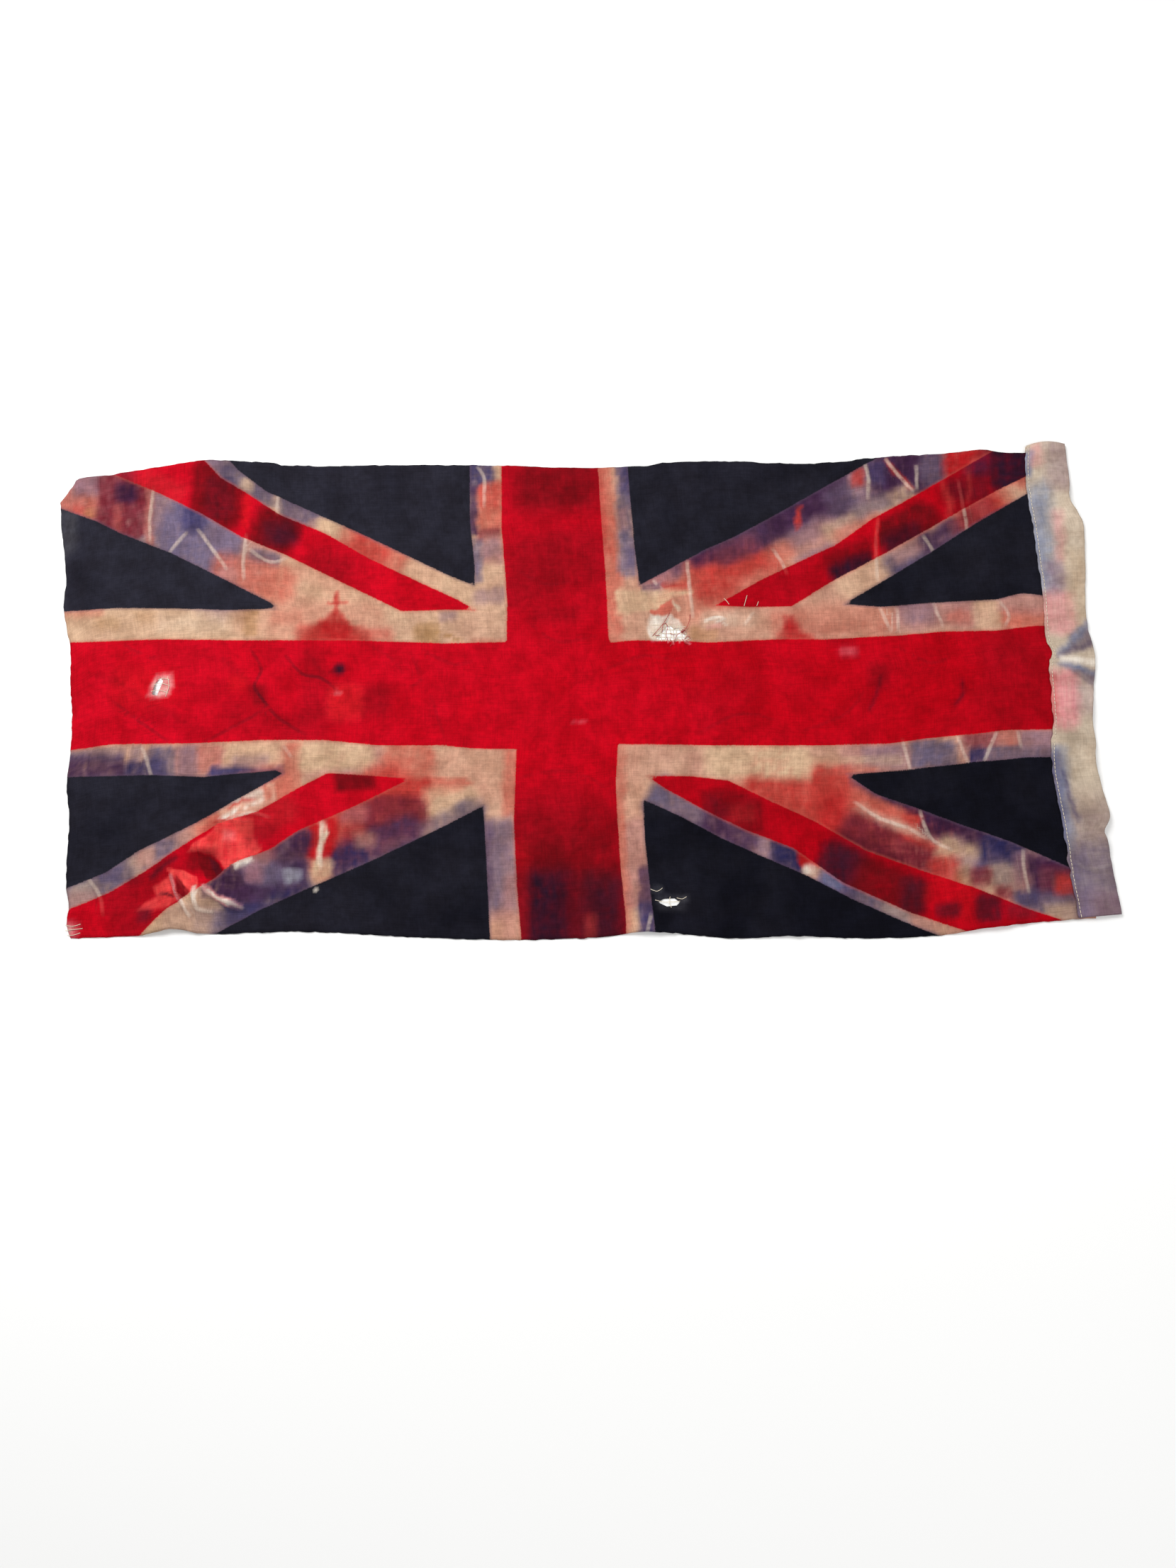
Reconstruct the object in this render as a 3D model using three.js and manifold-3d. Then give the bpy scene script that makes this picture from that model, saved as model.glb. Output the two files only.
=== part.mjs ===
// A printed flag of thin cloth with a cotton heading along its hoist, laid out flat and a little crumpled.
// Millimetres. +X runs to the hoist, +Y to the top edge, +Z up; the flag rests on z = 0.
// The origin is below the middle of the flag's box.
import * as THREE from "three";
import { mergeVertices } from "three/addons/utils/BufferGeometryUtils.js";
import Module from "manifold-3d";

// ---- Driving dimensions -------------------------------------------------------------------------
const CLOTH = 1.0; // thickness of the fly and of each layer of the heading
const GAP = 0.5; // air between the layers at the hoist
const ROWS = 36; // facets up the flag, the same for the fly and the heading
const FLY_COLUMNS = 40; // facets along the fly, up to where it climbs
const HEADING_STEPS = { layer: 4, fold: 3 }; // facets across one layer of the heading, and round its fold
const SEWN_DEPTH = 17; // how far the fly reaches in under the heading
const CLIMB = 30; // length over which the fly climbs from the surface onto the heading's lower layer
const CLIMB_STEPS = 4; // facets of that climb
const CLIMB_END = 4; // the climb is over this far before the heading starts
const HOLE_REACH = 30; // height of the tools that cut the holes

const FOLD_RADIUS = CLOTH + GAP; // of the middle of the strip, round the fly's edge
const FOLD_TUCK = FOLD_RADIUS + CLOTH / 2; // from the centre of the fold to its outer face
const LAYER_RISE = CLOTH + GAP; // from one layer's middle to the next one's

// ---- Edges of the cloth as it lies --------------------------------------------------------------
const TOP_EDGE = [
  [-498.5, 176], [-486, 192], [-480, 200], [-450, 206], [-400, 214.5], [-360, 220.5],
  [-300, 217], [-280, 213.5], [-200, 215], [-100, 215], [48, 212], [86, 218], [158, 219],
  [185, 215.5], [258, 219], [276, 222], [350, 227], [390, 231], [415, 227], [448, 228],
];
const BOTTOM_EDGE = [
  [-465, -239], [-402, -236.5], [-370, -230.5], [-338, -235], [-250, -233], [-150, -238],
  [-60, -240.5], [20, -238], [66, -233], [140, -239], [195, -237], [262, -239], [330, -236.5],
  [370, -230], [420, -224.5], [474, -220.5],
];
const FLY_EDGE = [
  [-465, -239], [-469, -225], [-466.5, -207], [-472, -185], [-472.5, -130], [-477, -95],
  [-473.5, -50], [-479.5, 0], [-481, 30], [-490, 72], [-488, 102], [-497, 150], [-498.5, 176],
];
// Where the heading's upper layer is sewn down.
const SEAM = [
  [457.5, -220.5], [453, -190], [448, -140], [440.5, -80], [444, -35], [443, 15], [446.5, 25],
  [441.5, 45], [441, 85], [437.5, 122], [435.5, 150], [431, 190], [431, 215], [433, 234],
];
// Where the heading is folded back under itself.
const HOIST_EDGE = [
  [497.5, -217], [495.5, -200], [488, -152], [485, -140], [491.5, -122], [481, -78],
  [483.5, -55], [481, -31], [487, 18], [481.5, 65], [484.5, 145], [479, 165], [471, 180],
  [473, 200], [470.5, 236],
];
const HEADING_TOP_CROWN = 3; // the heading's upper end bows up by this much
const CROWN_FADE = 12; // power by which the bow dies away down the heading
const SAMPLES_PER_POINT = 8; // how finely an edge is sampled where its x is looked up

// ---- Folds --------------------------------------------------------------------------------------
// Each is a soft swell of the cloth: middle, half length along its own direction, half width,
// direction in degrees from +X, and height. Beyond them the cloth lies flat.
const FOLDS = [
  // waves along the edges
  { at: [50, 211], long: 40, wide: 26, turn: 0, high: 4 },
  { at: [186, 215], long: 34, wide: 24, turn: 0, high: 3.5 },
  { at: [-284, 213], long: 44, wide: 26, turn: -4, high: 3.5 },
  { at: [-372, -231], long: 38, wide: 26, turn: 8, high: 5 },
  { at: [66, -234], long: 34, wide: 24, turn: 0, high: 4.5 },
  { at: [196, -238], long: 30, wide: 20, turn: 0, high: 2.5 },
  { at: [380, -230], long: 50, wide: 24, turn: 9, high: 4 },
  { at: [-490, 104], long: 34, wide: 24, turn: 84, high: 4 },
  { at: [-474, -50], long: 34, wide: 22, turn: 90, high: 3.5 },
  { at: [-467, -206], long: 24, wide: 22, turn: 90, high: 4 },
  // worn upper corner, which curls
  { at: [-484, 192], long: 40, wide: 22, turn: 50, high: 5 },
  // crumple near the lower corner of the fly end
  { at: [-360, -196], long: 44, wide: 15, turn: -56, high: 7 },
  { at: [-344, -205], long: 26, wide: 13, turn: -78, high: 6 },
  { at: [-322, -203], long: 44, wide: 14, turn: -17, high: 7 },
  { at: [-336, -164], long: 36, wide: 18, turn: -38, high: 6 },
  { at: [-312, -120], long: 40, wide: 18, turn: 27, high: 4 },
  // puckers beside the torn place
  { at: [130, 60], long: 32, wide: 14, turn: -4, high: 4 },
  { at: [84, 74], long: 28, wide: 15, turn: 28, high: 3.5 },
  // long low folds across the middle stripe
  { at: [-405, -12], long: 84, wide: 20, turn: -34, high: 3 },
  { at: [-288, -12], long: 60, wide: 18, turn: -48, high: 3 },
  { at: [268, -8], long: 58, wide: 18, turn: 58, high: 2.5 },
  { at: [350, -4], long: 46, wide: 16, turn: 40, high: 2.5 },
  // heading: pinch at the seam and waves of the folded edge
  { at: [470, 28], long: 38, wide: 22, turn: 16, high: 2.5 },
  { at: [486, -31], long: 24, wide: 20, turn: 90, high: 3 },
  { at: [484, -78], long: 26, wide: 20, turn: 90, high: 3.5 },
  { at: [490, -140], long: 28, wide: 22, turn: 90, high: 4 },
  { at: [476, 178], long: 28, wide: 22, turn: 90, high: 4 },
];

// ---- Holes worn or torn through the fly ---------------------------------------------------------
const HOLES = [
  [
    [66, 44], [71, 52], [78, 58], [81, 66], [87, 66], [93, 61],
    [100, 54], [104, 47], [98, 41], [86, 39], [75, 41],
  ],
  [[-403, -14], [-395, -15], [-394, -6], [-391, 4], [-397, 6], [-401, -2]],
  [[73, -206], [78, -203], [88, -202.5], [93, -206], [90, -209], [81, -210]],
];

// ---- Cloth lying on the surface -----------------------------------------------------------------
const curveThrough = (points) => new THREE.SplineCurve(points.map(([x, y]) => new THREE.Vector2(x, y)));

// Height that the folds add at a place.
function foldHeight(x, y) {
  let height = 0;
  for (const { at, long, wide, turn, high } of FOLDS) {
    const a = THREE.MathUtils.degToRad(turn);
    const along = (x - at[0]) * Math.cos(a) + (y - at[1]) * Math.sin(a);
    const beside = (y - at[1]) * Math.cos(a) - (x - at[0]) * Math.sin(a);
    const away = (along / long) ** 2 + (beside / wide) ** 2;
    if (away < 1) height += high * (1 - away) ** 2;
  }
  return height;
}

// The x of an edge that runs up the flag, at a given y.
function edgeAt(samples, y) {
  const next = samples.findIndex((p) => p.y >= y);
  if (next === 0) return samples[0].x;
  if (next < 0) return samples[samples.length - 1].x;
  const [low, high] = [samples[next - 1], samples[next]];
  return THREE.MathUtils.mapLinear(y, low.y, high.y, low.x, high.x);
}

const SEAM_SAMPLES = curveThrough(SEAM).getPoints(SEAM.length * SAMPLES_PER_POINT);

// Height of the middle of the fly: on the surface, then up onto the heading's lower layer.
function flyHeight(x, y) {
  const climbEnd = edgeAt(SEAM_SAMPLES, y) - CLIMB_END;
  const climbed = THREE.MathUtils.smoothstep(x, climbEnd - CLIMB, climbEnd);
  return CLOTH / 2 + LAYER_RISE * climbed + foldHeight(x, y);
}

// A closed sheet: a flat box with one facet row per step, its points moved onto a surface.
// place(u, v, side) gives the point, with u and v from 0 to 1 and side -0.5 below, 0.5 above.
function sheet(stepsU, stepsV, place) {
  const box = new THREE.BoxGeometry(1, 1, 1, stepsU, stepsV, 1);
  const position = box.getAttribute("position");
  const point = new THREE.Vector3();
  for (let i = 0; i < position.count; i++) {
    point.fromBufferAttribute(position, i);
    place(point, point.x + 0.5, point.y + 0.5, point.z);
    position.setXYZ(i, point.x, point.y, point.z);
  }
  return onlyPositions(box);
}

function onlyPositions(geometry) {
  geometry.deleteAttribute("normal");
  geometry.deleteAttribute("uv");
  return mergeVertices(geometry);
}

// ---- The fly: one printed panel between its four edges ------------------------------------------
// How far along the fly each column of facets starts, as a share: even up to the climb, closer on it,
// and then two columns under the heading.
function flyColumns() {
  const length = TOP_EDGE.at(-1)[0] - TOP_EDGE[0][0];
  const climb = Array.from({ length: CLIMB_STEPS }, (_, i) => CLIMB * (1 - i / CLIMB_STEPS));
  const fromHoist = [...climb.map((rest) => SEWN_DEPTH + CLIMB_END + rest), SEWN_DEPTH + CLIMB_END];
  fromHoist.push(SEWN_DEPTH / 2, 0);
  const shares = fromHoist.map((distance) => 1 - distance / length);
  const even = Array.from({ length: FLY_COLUMNS }, (_, i) => (shares[0] * i) / FLY_COLUMNS);
  return [...even, ...shares];
}

function flySheet() {
  const top = curveThrough(TOP_EDGE);
  const bottom = curveThrough(BOTTOM_EDGE);
  const left = curveThrough(FLY_EDGE);
  const between = SEAM.slice(1, -1).map(([x, y]) => [x + SEWN_DEPTH, y]);
  const sewn = curveThrough([BOTTOM_EDGE.at(-1), ...between, TOP_EDGE.at(-1)]);
  const corners = [bottom.getPointAt(0), bottom.getPointAt(1), top.getPointAt(0), top.getPointAt(1)];
  const columns = flyColumns();
  const steps = columns.length - 1;
  return sheet(steps, ROWS, (point, share, v, side) => {
    const u = columns[Math.round(share * steps)];
    const [b, t, l, r] = [bottom.getPointAt(u), top.getPointAt(u), left.getPointAt(v), sewn.getPointAt(v)];
    const blend = (axis) =>
      (1 - v) * b[axis] + v * t[axis] + (1 - u) * l[axis] + u * r[axis] -
      (1 - v) * ((1 - u) * corners[0][axis] + u * corners[1][axis]) -
      v * ((1 - u) * corners[2][axis] + u * corners[3][axis]);
    const [x, y] = [blend("x"), blend("y")];
    point.set(x, y, flyHeight(x, y) + side * CLOTH);
  });
}

// ---- The heading: one strip folded over the hoist edge of the fly -------------------------------
function headingSheet() {
  const seam = curveThrough(SEAM);
  const hoist = curveThrough(HOIST_EDGE);
  const { layer, fold } = HEADING_STEPS;
  const steps = 2 * layer + fold;
  return sheet(steps, ROWS, (point, u, v, side) => {
    const [inner, outer] = [seam.getPointAt(v), hoist.getPointAt(v)];
    const step = Math.round(u * steps);
    const round = THREE.MathUtils.clamp((step - layer) / fold, 0, 1); // 0 on the lower layer, 1 on the upper
    const flat = step < layer ? step / layer : step > layer + fold ? (steps - step) / layer : 1;
    const width = outer.x - inner.x - FOLD_TUCK;
    const angle = Math.PI * (round - 0.5); // direction from the fold's centre to the middle of the strip
    const reach = FOLD_RADIUS - side * CLOTH;
    const x = inner.x + width * flat + reach * Math.cos(angle);
    const y = THREE.MathUtils.lerp(inner.y, outer.y, (x - inner.x) / (width + FOLD_TUCK)) +
      HEADING_TOP_CROWN * v ** CROWN_FADE * Math.sin(Math.PI * flat);
    point.set(x, y, FOLD_TUCK + reach * Math.sin(angle) + foldHeight(x, y));
  });
}

// ---- Cutting the holes --------------------------------------------------------------------------
const wasm = await Module();
wasm.setup();

function toSolid(geometry) {
  return new wasm.Manifold(
    new wasm.Mesh({
      numProp: 3,
      vertProperties: geometry.getAttribute("position").array,
      triVerts: new Uint32Array(geometry.index.array),
    }),
  );
}

function toGeometry(solid) {
  const mesh = solid.getMesh();
  return new THREE.BufferGeometry()
    .setAttribute("position", new THREE.BufferAttribute(mesh.vertProperties, mesh.numProp))
    .setIndex(new THREE.BufferAttribute(mesh.triVerts, 1));
}

function cutHoles(geometry) {
  let solid = toSolid(geometry);
  for (const outline of HOLES) {
    const shape = new THREE.Shape(outline.map(([x, y]) => new THREE.Vector2(x, y)));
    const tool = new THREE.ExtrudeGeometry(shape, { depth: HOLE_REACH, bevelEnabled: false });
    tool.translate(0, 0, -HOLE_REACH / 2);
    solid = solid.subtract(toSolid(onlyPositions(tool)));
  }
  return toGeometry(solid);
}

// ---- The flag -----------------------------------------------------------------------------------
function piece(name, geometry, color) {
  geometry.computeVertexNormals();
  const cloth = new THREE.MeshStandardMaterial({ color, roughness: 0.9, metalness: 0 });
  const made = new THREE.Mesh(geometry, cloth);
  made.name = name;
  return made;
}

const flag = new THREE.Group();
flag.add(piece("fly", cutHoles(flySheet()), 0xb3051a));
flag.add(piece("heading", headingSheet(), 0xcdbea5));

// The group is shifted so that the middle of its box is over the origin.
const middle = new THREE.Box3().setFromObject(flag).getCenter(new THREE.Vector3());
flag.position.set(-middle.x, -middle.y, 0);

export default flag;
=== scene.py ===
"""A worn printed flag of thin bunting with a cotton heading, laid out flat.

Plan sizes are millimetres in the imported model's frame: +X runs to the hoist, +Y to the top edge and +Z up
off the surface, with the origin below the middle of the flag. They become metres where a mesh is written.
"""

import logging
import math
from dataclasses import dataclass, field
from enum import Enum

import bmesh
import bpy
import numpy as np
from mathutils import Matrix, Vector, noise


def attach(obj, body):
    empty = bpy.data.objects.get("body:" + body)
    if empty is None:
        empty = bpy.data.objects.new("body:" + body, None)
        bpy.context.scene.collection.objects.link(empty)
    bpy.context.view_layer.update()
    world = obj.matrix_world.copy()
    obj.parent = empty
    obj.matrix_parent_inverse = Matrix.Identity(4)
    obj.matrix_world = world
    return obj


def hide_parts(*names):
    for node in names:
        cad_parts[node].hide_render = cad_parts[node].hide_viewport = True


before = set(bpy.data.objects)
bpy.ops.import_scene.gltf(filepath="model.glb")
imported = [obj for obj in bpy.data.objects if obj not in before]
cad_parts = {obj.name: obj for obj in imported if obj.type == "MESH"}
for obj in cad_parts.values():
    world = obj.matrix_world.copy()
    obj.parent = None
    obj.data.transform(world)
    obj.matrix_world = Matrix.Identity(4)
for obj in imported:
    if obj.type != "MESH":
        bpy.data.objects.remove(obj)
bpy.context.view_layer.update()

log = logging.getLogger("flag")
Point = tuple[float, float]
Points = tuple[Point, ...]

MM = 0.001  # metres in a millimetre
ROOT = "root"


# ---- Colour and nodes ---------------------------------------------------------------------------
def linear(code: str) -> tuple[float, float, float, float]:
    """Turns an sRGB hex colour into Blender's linear one.

    Args:
        code: six hex digits, red first.
    Returns:
        The linear colour with an alpha of one.
    """
    shares = [int(code[i:i + 2], 16) / 255 for i in (0, 2, 4)]
    turned = [s / 12.92 if s <= 0.04045 else ((s + 0.055) / 1.055) ** 2.4 for s in shares]
    return (turned[0], turned[1], turned[2], 1.0)


def add_node(tree: bpy.types.NodeTree, kind: str, settings: dict | None = None,
             inputs: dict | None = None) -> bpy.types.Node:
    """Adds one node with its settings and links.

    Args:
        tree: the material's node tree.
        kind: the node's type name.
        settings: attributes of the node.
        inputs: a value, or a socket to link, for each input's name or number.
    Returns:
        The new node.
    """
    made = tree.nodes.new(kind)
    for name, value in (settings or {}).items():
        setattr(made, name, value)
    for key, value in (inputs or {}).items():
        if isinstance(value, bpy.types.NodeSocket):
            tree.links.new(value, made.inputs[key])
        else:
            made.inputs[key].default_value = value
    return made


# Input and output numbers of the Mix node where it mixes colours.
FACTOR, FIRST, SECOND, MIXED = 0, 6, 7, 2
COLOUR_MIX = {"data_type": "RGBA"}


# ---- Curves and outlines in plan ----------------------------------------------------------------
@dataclass(frozen=True)
class Route:
    """A smooth curve through its points, looked up by its share of the length."""

    points: Points
    steps: int = 24

    def dense(self) -> np.ndarray:
        """Gives closely spaced points along the curve."""
        p = np.array(self.points, float)
        padded = np.vstack([p[:1], p, p[-1:]])
        t = np.linspace(0, 1, self.steps, endpoint=False)[:, None]
        spans = []
        for a, b, c, d in zip(padded, padded[1:], padded[2:], padded[3:]):
            slope_b, slope_c = (c - a) / 2, (d - b) / 2
            cubic = (2 * b - 2 * c + slope_b + slope_c) * t ** 3
            spans.append(cubic + (-3 * b + 3 * c - 2 * slope_b - slope_c) * t ** 2 + slope_b * t + b)
        return np.vstack([*spans, p[-1:]])

    def at(self, shares: np.ndarray) -> np.ndarray:
        """Gives the points at some shares of the curve's length.

        Args:
            shares: from 0 at the first point to 1 at the last.
        Returns:
            One row of x and y for each share.
        """
        line = self.dense()
        run = np.concatenate([[0], np.cumsum(np.hypot(*np.diff(line, axis=0).T))])
        run /= run[-1]
        return np.column_stack([np.interp(shares, run, line[:, i]) for i in (0, 1)])


def smooth(value: np.ndarray, low: float, high: float) -> np.ndarray:
    """Rises smoothly from 0 at low to 1 at high."""
    t = np.clip((value - low) / (high - low), 0, 1)
    return t * t * (3 - 2 * t)


def line_distance(spots: np.ndarray, line: np.ndarray) -> tuple[np.ndarray, np.ndarray]:
    """Measures how far spots are from a line of straight stretches.

    Args:
        spots: rows of x and y.
        line: rows of x and y, in order.
    Returns:
        Each spot's distance, and the share of the line at its nearest point.
    """
    best = np.full(len(spots), np.inf)
    share = np.zeros(len(spots))
    for i, (a, b) in enumerate(zip(line, line[1:])):
        span = b - a
        t = np.clip((spots - a) @ span / max(span @ span, 1e-9), 0, 1)
        away = np.hypot(*(spots - a - t[:, None] * span).T)
        nearer = away < best
        best = np.where(nearer, away, best)
        share = np.where(nearer, (i + t) / (len(line) - 1), share)
    return best, share


def inside(spots: np.ndarray, outline: np.ndarray) -> np.ndarray:
    """Says which spots lie inside a closed outline."""
    x, y = spots.T
    within = np.zeros(len(spots), bool)
    for (ax, ay), (bx, by) in zip(outline, np.roll(outline, -1, axis=0)):
        if ay != by:
            within ^= ((ay > y) != (by > y)) & (x < (bx - ax) * (y - ay) / (by - ay) + ax)
    return within


def outline_depth(spots: np.ndarray, outline: Points) -> np.ndarray:
    """Measures how deep spots lie inside a closed outline, less than 0 outside it."""
    ring = np.array(outline, float)
    away, _ = line_distance(spots, np.vstack([ring, ring[:1]]))
    return np.where(inside(spots, ring), away, -away)


def cloud(spots: np.ndarray, size: float, seed: float, octaves: int = 3) -> np.ndarray:
    """Gives a smooth random value from about -1 to 1 at each spot.

    Args:
        spots: rows of x and y in millimetres.
        size: width of its patches in millimetres.
        seed: a number that gives each use its own pattern.
        octaves: how many finer layers it has.
    Returns:
        One value for each spot.
    """
    places = [(x / size, y / size, seed) for x, y in spots.tolist()]
    return np.array([noise.fractal(place, 0.8, 2.1, octaves) for place in places])


# ---- The cloth as it lies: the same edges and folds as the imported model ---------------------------
TOP_EDGE: Points = (
    (-498.5, 176), (-486, 192), (-480, 200), (-450, 206), (-400, 214.5), (-360, 220.5), (-300, 217),
    (-280, 213.5), (-200, 215), (-100, 215), (48, 212), (86, 218), (158, 219), (185, 215.5), (258, 219),
    (276, 222), (350, 227), (390, 231), (415, 227), (448, 228),
)
BOTTOM_EDGE: Points = (
    (-465, -239), (-402, -236.5), (-370, -230.5), (-338, -235), (-250, -233), (-150, -238), (-60, -240.5),
    (20, -238), (66, -233), (140, -239), (195, -237), (262, -239), (330, -236.5), (370, -230),
    (420, -224.5), (474, -220.5),
)
FLY_EDGE: Points = (
    (-465, -239), (-469, -225), (-466.5, -207), (-472, -185), (-472.5, -130), (-477, -95), (-473.5, -50),
    (-479.5, 0), (-481, 30), (-490, 72), (-488, 102), (-497, 150), (-498.5, 176),
)
SEAM: Points = (
    (457.5, -220.5), (453, -190), (448, -140), (440.5, -80), (444, -35), (443, 15), (446.5, 25),
    (441.5, 45), (441, 85), (437.5, 122), (435.5, 150), (431, 190), (431, 215), (433, 234),
)
HOIST_EDGE: Points = (
    (497.5, -217), (495.5, -200), (488, -152), (485, -140), (491.5, -122), (481, -78), (483.5, -55),
    (481, -31), (487, 18), (481.5, 65), (484.5, 145), (479, 165), (471, 180), (473, 200), (470.5, 236),
)
SEWN_DEPTH = 17.0  # how far the fly reaches in under the heading
CLIMB = 30.0  # length over which the fly climbs onto the heading's lower layer
CLIMB_END = 4.0  # the climb is over this far before the heading starts


@dataclass(frozen=True)
class Swell:
    """A soft swell of the cloth: its middle, half length, half width, direction and height."""

    at: Point
    long: float
    wide: float
    turn: float
    high: float

    def height(self, spots: np.ndarray) -> np.ndarray:
        """Gives the height that it adds at each spot."""
        angle = math.radians(self.turn)
        x, y = (spots - self.at).T
        along = x * math.cos(angle) + y * math.sin(angle)
        beside = y * math.cos(angle) - x * math.sin(angle)
        away = (along / self.long) ** 2 + (beside / self.wide) ** 2
        return self.high * np.clip(1 - away, 0, None) ** 2


SWELLS = (
    # waves along the edges
    Swell((50, 211), 40, 26, 0, 4), Swell((186, 215), 34, 24, 0, 3.5), Swell((-284, 213), 44, 26, -4, 3.5),
    Swell((-372, -231), 38, 26, 8, 5), Swell((66, -234), 34, 24, 0, 4.5),
    Swell((196, -238), 30, 20, 0, 2.5),
    Swell((380, -230), 50, 24, 9, 4), Swell((-490, 104), 34, 24, 84, 4),
    Swell((-474, -50), 34, 22, 90, 3.5),
    Swell((-467, -206), 24, 22, 90, 4),
    # worn upper corner, which curls
    Swell((-484, 192), 40, 22, 50, 5),
    # crumple near the lower corner of the fly end
    Swell((-360, -196), 44, 15, -56, 7), Swell((-344, -205), 26, 13, -78, 6),
    Swell((-322, -203), 44, 14, -17, 7), Swell((-336, -164), 36, 18, -38, 6),
    Swell((-312, -120), 40, 18, 27, 4),
    # puckers beside the torn place
    Swell((130, 60), 32, 14, -4, 4), Swell((84, 74), 28, 15, 28, 3.5),
    # long low folds across the middle stripe
    Swell((-405, -12), 84, 20, -34, 3), Swell((-288, -12), 60, 18, -48, 3),
    Swell((268, -8), 58, 18, 58, 2.5),
    Swell((350, -4), 46, 16, 40, 2.5),
    # heading: pinch at the seam and waves of the folded edge
    Swell((470, 28), 38, 22, 16, 2.5), Swell((486, -31), 24, 20, 90, 3), Swell((484, -78), 26, 20, 90, 3.5),
    Swell((490, -140), 28, 22, 90, 4), Swell((476, 178), 28, 22, 90, 4),
)


@dataclass(frozen=True)
class Crease:
    """A pressed or crumpled line of the cloth: a narrow soft ridge, or a trough where high is under 0."""

    points: Points
    high: float = 0.9
    wide: float = 6.0
    pale: float | None = None  # how far its line is rubbed pale, or under 0 darkened as painted shade; None: by height

    def height(self, spots: np.ndarray) -> np.ndarray:
        """Gives the height that it adds at each spot, dying away to its ends."""
        away, share = line_distance(spots, Route(self.points, 6).dense())
        across = np.clip(1 - (away / self.wide) ** 2, 0, None) ** 2
        return self.high * across * np.sin(math.pi * share) ** 0.5

    def shade(self) -> float:
        """Gives how pale its line is, from -1 for dark, which is painted shade, to 1."""
        return self.pale if self.pale is not None else max(-0.35, min(0.8, self.high * 0.6))


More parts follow.
